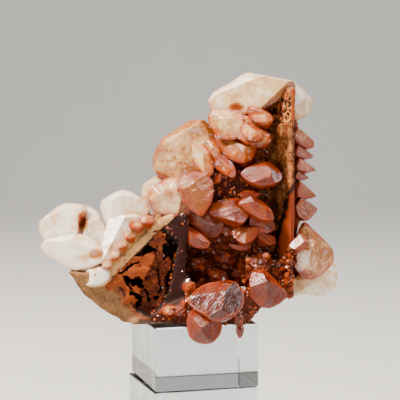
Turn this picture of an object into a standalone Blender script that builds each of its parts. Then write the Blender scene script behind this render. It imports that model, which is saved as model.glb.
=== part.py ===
"""Calcite specimen on a stand of two clear blocks.

Scale-like calcite crystals, pale outside and iron red inside, grow over a
thin-walled, iron-stained matrix. The matrix is a broken arm with a hollow
mould on the left, a thin blade on the right and a core behind them. It rests
on two square blocks of clear plastic.

Frame: +X to the right and +Z up as the front is seen, +Y away from the
front. The origin is the middle of the lower block's underside. Lengths are
in millimetres until a mesh is made.
"""

import math

import bmesh
import bpy
from mathutils import Matrix, Vector

MM = 0.001
GAP = 0.3

# Driving dimensions: the stand's blocks.
BLOCK_WIDTH = 40.0
BLOCK_HEIGHT = 24.0
BLOCK_BEVEL = 0.6
UPPER_BLOCK_TURN = 15.5
LOWER_BLOCK_TURN = 17.0
LOWER_BLOCK_SHIFT = -0.7
STAND_TOP = 2 * BLOCK_HEIGHT + GAP
REST_HEIGHT = STAND_TOP + GAP

# The sight that places are read in: a picture of 400 x 400 pixels, in which
# a block is BLOCK_PIXELS wide.
PICTURE_MIDDLE = 200.0
BLOCK_PIXELS = 104.4
SIGHT_FOCUS = 1500.0
SIGHT_TILT = math.radians(5.2)
SIGHT_DISTANCE = SIGHT_FOCUS * BLOCK_WIDTH / BLOCK_PIXELS
SIGHT_TARGET = Vector((2.45, 0.0, 93.8))
FORWARD = Vector((0.0, math.cos(SIGHT_TILT), -math.sin(SIGHT_TILT)))
EYE = SIGHT_TARGET - FORWARD * SIGHT_DISTANCE


def sight(column, row, depth):
    """The point seen at a picture column and row, at a depth behind the stand's axis."""
    upward = Vector((0.0, math.sin(SIGHT_TILT), math.cos(SIGHT_TILT)))
    ray = FORWARD * SIGHT_FOCUS + upward * (PICTURE_MIDDLE - row)
    ray.x += column - PICTURE_MIDDLE
    return EYE + ray * ((depth - EYE.y) / ray.y)


def direction(turn, rise):
    """The unit vector that turns right from the line to the viewer, and rises."""
    turn, rise = math.radians(turn), math.radians(rise)
    flat = math.cos(rise)
    return Vector((math.sin(turn) * flat, -math.cos(turn) * flat, math.sin(rise)))


def facing(axis, roll):
    """The rotation to a frame whose Z is the axis and whose X is level, turned by roll."""
    side = Vector((0.0, 0.0, 1.0)).cross(axis)
    side = side.normalized() if side.length > 1e-6 else Vector((1.0, 0.0, 0.0))
    turned = Matrix((side, axis.cross(side), axis)).transposed()
    return turned @ Matrix.Rotation(math.radians(roll), 3, "Z")


def cut_face(bm, point, normal):
    """Cuts off what lies beyond a plane, and closes the cut with a flat face."""
    bmesh.ops.bisect_plane(
        bm, geom=bm.verts[:] + bm.edges[:] + bm.faces[:], dist=1e-4,
        plane_co=point, plane_no=normal, clear_outer=True,
    )
    rim = [edge for edge in bm.edges if edge.is_boundary]
    if rim:
        bmesh.ops.holes_fill(bm, edges=rim, sides=0)


def as_object(name, bm, centre, collection):
    """A mesh object in metres from a bmesh in millimetres about its centre."""
    bmesh.ops.transform(bm, matrix=Matrix.Translation(centre), verts=bm.verts)
    bmesh.ops.transform(bm, matrix=Matrix.Scale(MM, 4), verts=bm.verts)
    bmesh.ops.recalc_face_normals(bm, faces=bm.faces)
    mesh = bpy.data.meshes.new(name)
    bm.to_mesh(mesh)
    bm.free()
    made = bpy.data.objects.new(name, mesh)
    collection.objects.link(made)
    return made


# A plate is a crystal whose outline is seen in the picture. Its girdle lies in
# a plane that faces aim, flat faces rise from the girdle to the apex, and a
# root tapers away behind it. A face is the picture angle that it falls
# towards, with the length that it rises over where it isn't the whole way to
# the apex.
def plate(outline, depth, aim, apex, faces, root=10):
    return dict(outline=outline, depth=depth, aim=aim, apex=apex, faces=faces, root=root)


# A scale is the same on an oval outline. place: picture column and row and
# depth, wide and high: half sizes, turn and rise: where its axis points,
# roll: of the long side, spin: of the first flat face, cap: the faces' slope.
def scale(place, wide, high, turn, rise, roll=0, spin=90, cap=28, root=9, peak=0.5):
    return dict(
        place=place, wide=wide, high=high, turn=turn, rise=rise,
        roll=roll, spin=spin, cap=cap, root=root, peak=peak,
    )


OVAL_CORNERS = 10
FRONT_REACH = 12.0
EDGE_HEIGHT = 0.25
LEAST_RUN = 1.0
ROOT_STEPS = ((0.45, 0.85), (1.0, 0.4))


def in_plane(column, row, origin, axis):
    """The point of a plane that is seen at a picture column and row."""
    upward = Vector((0.0, math.sin(SIGHT_TILT), math.cos(SIGHT_TILT)))
    ray = FORWARD * SIGHT_FOCUS + upward * (PICTURE_MIDDLE - row)
    ray.x += column - PICTURE_MIDDLE
    return EYE + ray * ((origin - EYE).dot(axis) / ray.dot(axis))


def faces_of(row, flat, apex, height):
    """A point and a normal for each flat face of a plate."""
    angles = [entry[0] if isinstance(entry, tuple) else entry for entry in row["faces"]]
    nearest = []
    for point in flat:
        angle = math.degrees(math.atan2(point.y - apex.y, point.x - apex.x))
        nearest.append(min(range(len(angles)), key=lambda i: abs((angles[i] - angle + 180) % 360 - 180)))
    planes = []
    for index, entry in enumerate(row["faces"]):
        angle = math.radians(angles[index])
        fall = Vector((math.cos(angle), math.sin(angle)))
        own = [point.dot(fall) for point, face in zip(flat, nearest) if face == index]
        far = max(own, default=max(point.dot(fall) for point in flat))
        run = entry[1] if isinstance(entry, tuple) else max(far - apex.dot(fall), LEAST_RUN)
        slope = (height - EDGE_HEIGHT) / run
        normal = Vector((fall.x * slope, fall.y * slope, 1.0)).normalized()
        planes.append((Vector((fall.x * far, fall.y * far, EDGE_HEIGHT)), normal))
    return planes


def laid_out(row):
    """A crystal's girdle in its own plane, its face planes, its turn and its origin."""
    if "outline" in row:
        axis = direction(*row["aim"])
        column = sum(place[0] for place in row["outline"]) / len(row["outline"])
        line = sum(place[1] for place in row["outline"]) / len(row["outline"])
        origin = sight(column, line, row["depth"])
        turned = facing(axis, 0)
        back = turned.inverted()
        place_of = lambda c, r: (back @ (in_plane(c, r, origin, axis) - origin)).to_2d()
        flat = [place_of(*place) for place in row["outline"]]
        apex = place_of(*row["apex"][:2])
        planes = faces_of(row, flat, apex, row["apex"][2])
        return flat, planes, turned, origin
    wide, high = row["wide"], row["high"]
    flat = []
    for corner in range(OVAL_CORNERS):
        angle = math.tau * corner / OVAL_CORNERS
        flat.append(Vector((wide * math.cos(angle), high * math.sin(angle))))
    peak = Vector((0.0, 0.0, row["peak"] * (wide + high) / 2))
    slope = math.tan(math.radians(row["cap"]))
    planes = []
    for third in range(3):
        angle = math.radians(row["spin"] - row["roll"] + 120 * third)
        planes.append((peak, Vector((math.cos(angle) * slope, math.sin(angle) * slope, 1.0)).normalized()))
    return flat, planes, facing(direction(row["turn"], row["rise"]), row["roll"]), sight(*row["place"])


def crystal(name, row, collection, grow=0.0):
    """One crystal: its outline drawn out to the front and cut, and tapering to a root behind."""
    flat, planes, turned, origin = laid_out(row)
    flat = offset(flat, grow)
    middle = sum(flat, Vector((0.0, 0.0))) / len(flat)
    bm = bmesh.new()
    girdle = bm.faces.new([bm.verts.new((point.x, point.y, 0.0)) for point in flat])
    end, last = girdle, 1.0
    for deep, narrow in ROOT_STEPS:
        swept = bmesh.ops.extrude_face_region(bm, geom=[end])["geom"]
        if end is not girdle:
            bm.faces.remove(end)
        end = [item for item in swept if isinstance(item, bmesh.types.BMFace)][0]
        for vertex in end.verts:
            place = middle + (vertex.co.to_2d() - middle) * narrow / last
            vertex.co = (place.x, place.y, -(row["root"] + grow) * deep)
        last = narrow
    for item in bmesh.ops.extrude_face_region(bm, geom=[girdle])["geom"]:
        if isinstance(item, bmesh.types.BMVert):
            item.co.z = FRONT_REACH
    bm.faces.remove(girdle)
    bmesh.ops.recalc_face_normals(bm, faces=bm.faces)
    for point, normal in planes:
        cut_face(bm, point + normal * grow, normal)
    bmesh.ops.transform(bm, matrix=turned.to_4x4(), verts=bm.verts)
    return as_object(name, bm, origin, collection)


# Crystals, by the node they form. A picture place is given to each.
CLUSTERS = {
    "crown_crystals": [
        plate([(250.5, 70.8), (258.5, 73), (276, 77.3), (293.6, 81.5), (296, 86.5), (286, 93),
              (277, 101.5), (269, 106), (262, 110.5), (246, 114.5), (230, 114), (215, 112.5),
              (209.5, 107), (208.2, 100), (213, 92.5), (222, 88), (232, 82.5), (239, 76)], 1, (-16, 24),
              (264, 85, 6.2), [(80, 3.2), (-99, 22), (160, 8), (-54, 3.4), (122, 9)], root=14),
        plate([(292, 82), (299.7, 85), (308.4, 94.7), (312.8, 102.3), (309.4, 108), (310.6, 112),
              (303, 117), (296.5, 121), (287, 116), (285, 98)], 6, (38, 12), (301, 99, 3.6), [50, -35,
              170, -120], root=9),
        plate([(214, 108), (208, 116), (208, 121), (211, 128), (216, 136.5), (222, 140.5), (234, 140),
              (245, 134), (246, 118), (232, 107), (222, 106)], -1, (-24, 24), (222, 121, 2.6), [(80, 6),
              (-60, 9), (-150, 5), (180, 5)], root=12),
        plate([(229, 109), (223.8, 115), (224, 121), (227, 127.5), (233.5, 133), (238, 139),
              (245.5, 143.8), (254, 145.5), (266.5, 146), (271.5, 140.2), (269.4, 133.5), (262, 126.5),
              (253, 119), (242, 112)], -5, (-16, 30), (250, 124, 3.4), [(54, 6), (-136, 11), (-95, 8),
              (-20, 5), (180, 9)], root=12),
        plate([(244, 124), (240.3, 129.5), (241.3, 135.5), (248.5, 140.5), (258.5, 141.3), (264.5, 137),
              (263, 131.5), (255, 125.5), (249, 123.3)], -9, (-10, 34), (254, 129, 2.4), [(60, 3),
              (-135, 5.5), (-80, 3), (-10, 3.4)], root=9),
        plate([(247, 108), (247.5, 113), (251, 119), (258, 123.5), (267, 125.3), (272.6, 121.8),
              (273.4, 117), (266, 111), (257, 107)], -8, (-6, 36), (262, 114, 2.4), [(60, 3), (-130, 6),
              (-90, 3), (-10, 4)], root=9),
        plate([(217, 136), (216, 142), (219.3, 149), (226, 156.5), (236, 162), (244.5, 163.5),
              (252, 159), (256.6, 152), (256.5, 147), (247, 144.5), (237, 139), (226, 134)], -4,
              (-16, 32), (238, 144, 3), [(70, 3.4), (-140, 9), (-115, 6), (-35, 4.5)], root=12),
        plate([(209.5, 153), (208.4, 158.5), (214.5, 168), (225, 175.5), (233.5, 178.3), (237, 174),
              (235, 166), (227, 157), (217.5, 152.5)], -5, (-22, 26), (222, 161, 2.4), [(55, 4),
              (-125, 6), (-70, 5), (170, 4)], root=10),
    ],
    "shoulder_crystals": [
        plate([(148, 152), (161, 140), (176, 129.4), (187.5, 121.8), (197, 121.2), (206, 122.5),
              (213, 128), (216, 142), (206, 166), (185, 179), (163, 181.5), (156.6, 175), (149.2, 162)],
              4, (-16, 22), (186, 146, 5.2), [(-60, 20), (125, 6), (170, 3.6), (-110, 4), (-150, 3.6),
              (10, 7)], root=14),
        plate([(186, 143.5), (187, 150), (190.5, 158), (197.5, 168.5), (204.5, 176), (212, 177),
              (215, 166), (211, 152), (204, 143), (194, 140.8)], -1, (-24, 22), (200, 152, 2.8),
              [(70, 4), (-145, 6), (-20, 7)], root=11),
        plate([(205, 142), (207, 150), (210.5, 158), (217, 162), (222, 156), (221, 147), (216, 141),
              (210, 139)], -1, (-22, 26), (213, 147, 2.2), [(60, 3), (-150, 3), (-40, 5)], root=10),
        plate([(211, 172), (211, 179), (215, 184.5), (221, 182), (222, 175), (217, 170)], -4, (-20, 26),
              (216, 175, 1.8), [60, -150, -50], root=9),
        plate([(141, 192), (145.5, 185), (153, 177), (160, 176), (165, 182), (157, 192), (149, 201),
              (143, 199)], 4, (-40, 28), (153, 186, 2.4), [(125, 3), (-140, 4), (-30, 5)], root=10),
    ],
    "saddle_crystals": [
        plate([(148, 199), (150, 190.5), (156, 184), (165, 179), (178, 176), (190, 190), (192, 208),
              (187, 217.5), (172, 216), (159, 214.5), (151, 209.5)], -8, (-2, 20), (174, 194, 3.6),
              [(118, 7), (-125, 9), (-50, 6), (165, 6)], root=12),
        plate([(176.5, 189), (178.5, 180), (184.5, 174), (194, 171.3), (206, 173.5), (213, 181),
              (214, 192), (211.5, 203), (206, 212), (201, 217), (194, 213), (187, 207), (180, 200)],
              -11, (-8, 22), (196, 186, 4), [(100, 5), (140, 6), (-52, 10), (-132, 5), (0, 6)],
              root=14),
        plate([(181, 205), (187, 218), (194, 229), (204, 236.5), (214.5, 238), (222, 232.5), (224, 224),
              (218, 213), (205, 206), (193, 200)], -9, (-4, 2), (204, 218, 3.6), [(60, 6), (-75, 5),
              (-140, 7), (-30, 5)], root=10),
        plate([(179.4, 227), (181.5, 234.5), (187.5, 243), (196, 248.3), (207, 249), (211, 243.5),
              (204, 236), (195, 229), (186, 224.3)], -12, (-8, 20), (192, 234, 2.6), [(50, 3),
              (-145, 3.4), (-95, 4), (-30, 5)], root=8),
        plate([(208.6, 210.5), (212, 205), (218, 201.5), (229, 198.8), (239.5, 198.8), (247, 206.5),
              (250, 215), (242, 224.5), (233, 222), (220, 218), (211, 215.5)], -10, (0, 40),
              (228, 211, 2.8), [(95, 4.6), (-115, 3.6), (-40, 6), (40, 5), (150, 5)], root=12),
        plate([(237, 204), (243, 197.5), (249, 194.5), (256, 196.5), (265, 203.5), (272, 213),
              (274, 221.5), (262, 220), (249, 213)], -11, (8, 36), (256, 205, 2.8), [(50, 4), (140, 5),
              (-125, 4), (-60, 6)], root=10),
        plate([(250, 212), (261, 219), (273, 222), (276, 229), (269, 233.5), (257, 232), (249, 225)],
              -9, (10, 24), (263, 224, 2.2), [(70, 3), (-140, 4), (-50, 4)], root=9),
        plate([(229, 231), (233.5, 226.5), (243, 225), (252, 225.5), (258, 229), (258.7, 234),
              (252.5, 241), (243.5, 244.8), (235, 239)], -11, (2, 34), (245, 230, 2.6), [(90, 2.6),
              (-125, 5.5), (-45, 4), (150, 4)], root=9),
        plate([(257, 231), (266.5, 230.5), (274, 238), (276.5, 245), (267, 245), (258.5, 238.5)], -9,
              (20, 26), (266, 236, 1.8), [(60, 2.4), (-130, 3.4), (-50, 3)], root=9),
        plate([(227, 241), (236, 246), (246, 244.5), (252, 244), (250, 249.5), (240, 251), (231, 248)],
              -9, (0, 20), (240, 247, 1.6), [(85, 2), (-110, 2.4), (-20, 3)], root=8),
        plate([(239, 195), (244, 191.8), (250, 190.5), (257, 193), (260, 197), (250, 199.5),
              (243, 198.5)], -9, (6, 36), (250, 194.5, 1.6), [(90, 1.6), (-100, 2)], root=8),
        plate([(222, 228), (228, 224), (234, 226), (235, 232), (229, 237), (223, 235)], -9, (0, 20),
              (229, 230, 1.6), [90, -150, -30], root=8),
    ],
    "blade_face_crystal": [
        plate([(240, 172.8), (248, 168), (258, 165), (267, 161.6), (271.5, 163.5), (277, 168.5),
              (281.8, 174), (281.8, 180.5), (272, 186), (258.5, 186), (249.5, 182.5), (242.5, 177.5)],
              -10, (4, 34), (267, 171, 3.6), [(105, 3.4), (45, 4), (-100, 3.6), (-150, 10), (-20, 4.6)],
              root=9),
    ],
    "blade_edge_crystals": [
        plate([(293.5, 126), (299.5, 129.5), (306, 138), (314.6, 148), (308, 149), (299, 144),
              (292.5, 138)], -3, (40, 28), (301, 140, 2.2), [(45, 2), (-130, 3), (-95, 2.6)], root=8),
        plate([(295, 145), (302, 147), (308.5, 152), (313.2, 158.3), (305, 159.5), (295.5, 155)], -3,
              (42, 24), (302, 153, 1.8), [(50, 2), (-120, 2.4)], root=8),
        plate([(296, 157), (304, 160), (310.5, 165.5), (315.4, 172), (307, 173), (296, 169)], -3,
              (42, 24), (303, 166, 1.8), [(48, 2), (-115, 2.4)], root=8),
        plate([(296, 170), (303, 173), (309, 178.5), (302, 181), (294.5, 178)], -3, (42, 20),
              (301, 176, 1.5), [(50, 2), (-110, 2)], root=7),
        plate([(296, 182), (303, 183.5), (309, 188.5), (315.3, 197), (308, 199.5), (298, 198),
              (294, 190)], -3, (42, 20), (304, 192, 2), [(48, 2.4), (-110, 2.6)], root=8),
        plate([(297, 199), (305, 200), (313, 205), (318, 210), (312, 216.5), (305.5, 222), (298, 216),
              (294, 207)], -3, (40, 16), (306, 208, 2.4), [(50, 2.6), (-45, 4), (-140, 4)], root=9),
    ],
    "lower_crystals": [
        plate([(189, 299.5), (193.5, 291.5), (203, 285), (215, 282.5), (226, 280.3), (236.5, 286.5),
              (244.5, 296), (243.3, 307), (235, 316), (222, 321.5), (211, 321.3), (202, 315),
              (193.5, 309.3), (189, 304.5)], -25, (0, 36), (226, 296, 4.6), [(95, 4), (125, 8),
              (-160, 12), (-92, 3.4), (-25, 7)], root=10),
        plate([(191, 309), (187, 318), (186.5, 328), (190, 338.5), (197, 343), (205, 344.6), (213, 343),
              (219, 337), (222, 330), (222.5, 321), (212, 318), (200, 311)], -27, (-6, 14),
              (204, 325, 3.6), [(90, 6), (-170, 5), (-92, 4), (-20, 6)], root=11),
    ],
    "lower_right_crystal": [
        plate([(249.6, 277), (253, 271.3), (262.5, 269), (269.5, 273.5), (280, 286.5), (288, 294.5),
              (282.5, 302), (271.5, 308.5), (260.5, 307.5), (252, 298.5), (249, 288)], -18, (12, 20),
              (265, 281, 5.2), [(100, 3.4), (150, 5), (44, 4), (-48, 9), (-140, 6), (-95, 5)], root=11),
    ],
    "side_crystals": [
        plate([(303, 221), (307, 223), (315, 231), (325, 242), (331, 251), (334, 262), (324, 273.5),
              (312, 280.3), (302, 278), (294.5, 268.5), (289, 258), (289.5, 247), (297, 235)], -6,
              (18, 18), (313, 250, 5), [(48, 5), (-45, 9), (-100, 6), (-165, 6), (140, 6)], root=13),
        plate([(288.5, 247), (293, 240), (299.5, 233.5), (306.5, 238), (306.5, 248.5), (298, 252.3)],
              -12, (0, 26), (299, 243, 2.2), [(60, 3), (-60, 2.4), (150, 4)], root=9),
        plate([(328, 250), (334.4, 262), (336.8, 277), (334.5, 289), (328, 292), (323.5, 296.6),
              (312.5, 295.5), (300, 294.2), (287, 298), (286, 288), (300, 270)], 3, (24, 8),
              (316, 276, 3.8), [(30, 6), (-30, 7), (-90, 5), (180, 9)], root=12),
    ],
    "left_crystals": [
        plate([(38.4, 227), (42, 221), (48, 215), (58, 206.5), (66, 204), (75, 203.5), (86, 205.5),
              (86, 213), (80, 224), (78, 236), (62, 240), (45, 242), (40.5, 235)], 0, (-22, 26),
              (66, 220, 3.8), [(128, 5), (85, 4), (-80, 14), (-150, 5), (10, 5)], root=12),
        plate([(84, 205), (92, 207.5), (98, 212), (102, 220), (108, 228), (111, 240), (104, 254),
              (92, 250), (82, 240), (79, 230), (84, 218)], 0, (-8, 28), (95, 226, 3.6), [(60, 6),
              (15, 6), (-60, 10), (180, 3)], root=12),
        plate([(40.6, 245), (47, 239), (55, 234.8), (66, 232.5), (76, 232.3), (94, 239.5), (103, 250),
              (104, 262), (90, 268), (76, 271), (66, 267.5), (56, 261.5), (46, 255.5), (41.5, 251.5)],
              -6, (-16, 30), (76, 247, 3.8), [(110, 5), (55, 6), (-60, 12), (-120, 7), (180, 5)],
              root=12),
        plate([(99.8, 207), (103, 201), (108, 196), (115, 192.5), (122, 190.4), (131, 191.6),
              (138, 198), (147, 201), (151, 209), (144, 220), (134, 229), (124, 238), (114, 235),
              (108, 227), (103, 217)], 0, (-8, 28), (124, 208, 4), [(120, 4.4), (70, 4), (-45, 14),
              (-150, 6), (-100, 9)], root=13),
        plate([(109, 224), (120, 222), (133, 216), (147, 211), (153, 216), (140, 230), (126, 244),
              (113, 257), (103, 265), (99, 252)], -5, (-6, 40), (124, 232, 2.8), [(65, 5), (-45, 4),
              (-150, 9)], root=10),
    ],
    "back_crystals": [
        scale((255, 112, 14), 12, 9, 160, 35, root=12),
        scale((285, 128, 12), 8, 8, 125, 25, root=10),
        scale((228, 142, 16), 10, 9, 195, 30, root=12),
        scale((266, 152, 20), 12, 10, 168, 20, root=14),
        scale((240, 180, 22), 12, 10, 188, 15, root=14),
        scale((206, 186, 18), 10, 9, 205, 25, root=12),
        scale((284, 186, 17), 9, 9, 140, 15, root=12),
        scale((272, 214, 21), 11, 9, 160, 5, root=14),
        scale((176, 212, 15), 10, 8, 205, 25, root=12),
        scale((222, 222, 24), 12, 10, 185, 5, root=14),
        scale((255, 248, 22), 12, 10, 170, -5, root=14),
        scale((288, 236, 14), 8, 8, 130, 0, root=12),
        scale((142, 236, 14), 10, 9, 200, 25, root=12),
        scale((186, 248, 21), 11, 10, 190, 5, root=14),
        scale((108, 252, 10), 9, 8, 212, 20, root=12),
        scale((150, 274, 18), 11, 9, 195, -5, root=14),
        scale((212, 272, 22), 11, 9, 182, -10, root=14),
        scale((244, 282, 16), 9, 8, 165, -15, root=12),
        scale((114, 288, 10), 8, 7, 215, -5, root=11),
        scale((180, 294, 18), 10, 8, 190, -20, root=12),
        scale((284, 274, 10), 8, 7, 140, -15, root=11),
        scale((291, 132, 13), 8, 7, 110, 25, roll=12, root=11),
        scale((292, 156, 11), 8, 7, 96, 12, roll=-18, root=11),
        scale((290, 172, 17), 7, 7, 120, 10, roll=30, root=11),
        scale((293, 184, 9), 7, 8, 92, 5, roll=10, root=11),
        scale((292, 206, 12), 8, 7, 104, 8, roll=-12, root=11),
        scale((293, 226, 8), 7, 7, 98, 0, roll=25, root=11),
        scale((292, 246, 12), 8, 7, 112, -8, roll=-10, root=11),
        scale((296, 268, 12), 7, 7, 106, -15, roll=15, root=11),
        scale((96, 286, 3), 8, 7, -105, -15, root=11),
        scale((113, 300, 4), 7, 6, -110, -30, root=10),
        scale((84, 268, 5), 8, 7, -120, 0, root=11),
    ],
}

# Small crystals and lumps grown on the matrix, and one solid with it.
SMALL_CRYSTALS = [
    scale((258, 262, -11), 3.6, 2.6, 4, 30, roll=-20, root=7),
    scale((264, 257, -11), 2.4, 2, 20, 30, roll=-20, root=7),
    scale((198, 260, -8), 2.2, 1.8, 0, 40, root=7),
    scale((218, 274, -8), 4, 2.4, 6, 40, roll=-24, root=9),
    scale((208, 262, -4), 3, 2.4, 10, 40, root=7),
    scale((228, 258, -4), 3.4, 2.4, -10, 30, root=7),
    scale((240, 272, -5), 3, 2.4, 20, 30, root=7),
    scale((204, 284, -6), 3, 2.4, -10, 30, root=7),
    scale((189, 287, -16), 2.6, 2.4, 0, 30, root=6),
    scale((169, 310, -19), 2.8, 2.4, -10, 40, root=7),
    scale((180, 310, -19), 2.4, 2.2, 10, 30, root=6),
    scale((231, 285, -15), 2, 2, 20, 30, root=6),
    scale((239, 318, -19.5), 1.7, 3.2, 10, 10, root=6),
    scale((240, 330, -20), 1.5, 3.2, 10, 0, root=5),
    scale((96, 276, -13), 5.6, 4.2, -20, 34, roll=20, root=8),
    scale((80, 271, -9), 4.6, 3.2, -30, 34, roll=20, root=8),
    scale((89, 281, -12), 3.6, 2.4, -20, 24, roll=20, root=8),
    scale((136, 225, -14), 3, 2.4, -20, 50, root=6),
    scale((147, 220, -14), 3, 2.2, -10, 50, root=6),
    scale((129, 235, -14), 2.4, 2.1, -20, 50, root=6),
    scale((122, 244, -14), 2.2, 2, -20, 50, root=6),
    scale((114, 255, -14), 2.2, 1.9, -20, 50, root=6),
    scale((107, 264, -14), 2.2, 1.8, -20, 50, root=6),
]

# Matrix pieces: the outline seen in the picture, the depths it runs between,
# and how much narrower it is at the back.
CORE = [
    (112, 268), (131, 320), (250, 316), (266, 296), (268, 240), (268, 160), (272, 106),
    (246, 108), (222, 135), (196, 165), (172, 205), (135, 226),
]
ARM = [
    (172, 213), (162, 216), (120, 250), (98, 274), (66, 270), (84, 296), (102, 310), (131, 327),
    (194, 332), (186, 270), (190, 213),
]
MOULD = [(164, 228), (113, 279), (137, 312), (150, 318), (167, 300), (179, 240)]
FOOT = [(128, 322), (133, 331), (190, 334), (240, 330), (264, 306), (262, 290), (215, 288), (190, 296)]
SADDLE = [(176, 200), (188, 246), (214, 232), (258, 250), (262, 240), (256, 190), (240, 160), (214, 168)]
SHELF = [(240, 262), (246, 304), (288, 300), (290, 268), (270, 258)]
RIB = [(285, 112), (292, 114), (298, 128), (300, 215), (296, 238), (287, 238)]
BACK_WALL = [
    (240, 100), (284, 96), (286, 150), (288, 290), (262, 306), (180, 300), (200, 190), (222, 140),
]
CRUST = [
    (112, 280), (124, 268), (131, 262), (138, 264), (146, 255), (155, 257), (159, 250), (151, 246),
    (153, 237), (160, 230), (166, 232), (168, 250), (163, 262), (174, 262), (167, 301), (150, 319), (137, 313),
]
CRUST_HOLES = [
    [(128, 286), (136, 280), (144, 284), (141, 292), (133, 294)],
    [(141, 272), (150, 265), (153, 270), (144, 278)],
    [(142, 298), (152, 296), (155, 303), (146, 308)],
]
# Each part's outline, front and back depth, how much narrower its back is and
# how wide its edges are worn.
MATRIX_PARTS = [
    ("core", CORE, -2, 15, 0.94, 1.2),
    ("back wall", BACK_WALL, 5, 19, 0.9, 2.0),
    ("arm", ARM, -14, 14, 0.9, 1.0),
    ("foot", FOOT, -18, 14, 0.9, 1.0),
    ("saddle", SADDLE, -5, 12, 0.96, 1.5),
    ("shelf", SHELF, -10, 8, 0.9, 1.5),
    ("rib", RIB, -4, 12, 0.96, 0.6),
]
MOULD_FRONT = -20
MOULD_BACK = -2
MOULD_TAPER = 0.8
FLOOR_CUT = 100.0
CRUST_FRONT = -11.4
CRUST_BACK = -10.0
LINING_FRONT = -10.6
LINING_BACK = -2.6
LINING_DEEPEST = -3.8
LINING_THICKNESS = 1.6
LINING_TAPER = 0.86
BLADE_TOP = (294.5, 87, -10)
BLADE_FOOT = (292, 300, -13)
BLADE_TURN = 29.0
BLADE_DEPTH = 28.0
BLADE_THICKNESS = 2.4


def offset(outline, distance):
    """An outline of points in a plane, moved outward by a distance."""
    area = sum(a.x * b.y - b.x * a.y for a, b in zip(outline, outline[1:] + outline[:1]))
    turned = 1.0 if area > 0 else -1.0
    moved = []
    for index, point in enumerate(outline):
        before = (point - outline[index - 1]).normalized()
        after = (outline[(index + 1) % len(outline)] - point).normalized()
        first = Vector((before.y, -before.x)) * turned
        second = Vector((after.y, -after.x)) * turned
        moved.append(point + (first + second) * distance / max(1 + first.dot(second), 0.4))
    return moved


def prism(name, outline, front, back, collection, taper=1.0, grow=0.0, worn=0.0):
    """A solid between two depths with an outline seen in the picture, its edges worn."""
    near = [sight(column, row, front) for column, row in outline]
    flat = offset([Vector((point.x, point.z)) for point in near], grow)
    middle = sum(flat, Vector((0.0, 0.0))) / len(flat)
    bm = bmesh.new()
    verts = [bm.verts.new((point.x, front - grow, point.y)) for point in flat]
    face = bm.faces.new(verts)
    swept = bmesh.ops.extrude_face_region(bm, geom=[face])["geom"]
    reach = (back + grow - EYE.y) / (front - EYE.y)
    for vertex in swept:
        if isinstance(vertex, bmesh.types.BMVert):
            place = Vector((vertex.co.x, vertex.co.z)) - middle
            place = middle + place * taper
            vertex.co = (EYE.x + (place.x - EYE.x) * reach, back + grow, EYE.z + (place.y - EYE.z) * reach)
    if worn:
        bmesh.ops.bevel(
            bm, geom=bm.edges[:], offset=worn, offset_type="OFFSET",
            segments=1, profile=0.5, affect="EDGES", material=-1,
        )
    return as_object(name, bm, Vector(), collection)


def apply_solid(target, tool, operation):
    """Joins a tool to the target or cuts it away, and removes the tool."""
    modifier = target.modifiers.new("solid", "BOOLEAN")
    modifier.solver = "EXACT"
    modifier.operation = operation
    modifier.object = tool
    graph = bpy.context.evaluated_depsgraph_get()
    mesh = bpy.data.meshes.new_from_object(target.evaluated_get(graph))
    target.modifiers.clear()
    target.data = mesh
    bpy.data.objects.remove(tool)


def joined(name, parts):
    """One solid of overlapping solids."""
    whole = parts[0]
    whole.name = name
    for part in parts[1:]:
        apply_solid(whole, part, "UNION")
    return whole


def box_of(item):
    places = [vertex.co for vertex in item.data.vertices]
    low = Vector([min(place[i] for place in places) for i in range(3)])
    high = Vector([max(place[i] for place in places) for i in range(3)])
    return low, high


def near_each_other(one, other):
    low, high = box_of(one)
    other_low, other_high = box_of(other)
    return all(low[i] < other_high[i] and other_low[i] < high[i] for i in range(3))


def cut_by(target, tools):
    for tool in tools:
        if near_each_other(target, tool):
            apply_solid(target, tool, "DIFFERENCE")
        else:
            bpy.data.objects.remove(tool)


def keep_largest(item):
    """Keeps the largest separate piece of a mesh, with near points merged."""
    bm = bmesh.new()
    bm.from_mesh(item.data)
    bmesh.ops.remove_doubles(bm, verts=bm.verts, dist=3e-7)
    bmesh.ops.dissolve_degenerate(bm, edges=bm.edges, dist=3e-7)
    islands = []
    unseen = set(bm.verts)
    while unseen:
        island = {unseen.pop()}
        edge_of_island = list(island)
        while edge_of_island:
            vertex = edge_of_island.pop()
            for edge in vertex.link_edges:
                other = edge.other_vert(vertex)
                if other in unseen:
                    unseen.discard(other)
                    island.add(other)
                    edge_of_island.append(other)
        islands.append(island)
    islands.sort(key=len)
    for island in islands[:-1]:
        bmesh.ops.delete(bm, geom=list(island), context="VERTS")
    bmesh.ops.recalc_face_normals(bm, faces=bm.faces)
    bm.to_mesh(item.data)
    bm.free()


def matrix_solid(name, collection, grow=0.0):
    """The whole matrix, made larger all round by grow."""
    parts = []
    for title, outline, front, back, taper, worn in MATRIX_PARTS:
        parts.append(prism(title, outline, front, back, collection, taper, grow, worn))
    parts.append(blade("blade", collection, grow))
    whole = joined(name, parts)
    hollow = prism("mould", MOULD, MOULD_FRONT, MOULD_BACK, collection, MOULD_TAPER, -grow)
    apply_solid(whole, hollow, "DIFFERENCE")
    for row in SMALL_CRYSTALS:
        apply_solid(whole, crystal("small", row, collection, grow), "UNION")
    floor = bmesh.new()
    bmesh.ops.create_cube(floor, size=FLOOR_CUT)
    below = (0, 0, REST_HEIGHT - FLOOR_CUT / 2 - grow)
    apply_solid(whole, as_object("floor", floor, below, collection), "DIFFERENCE")
    return whole


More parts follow.
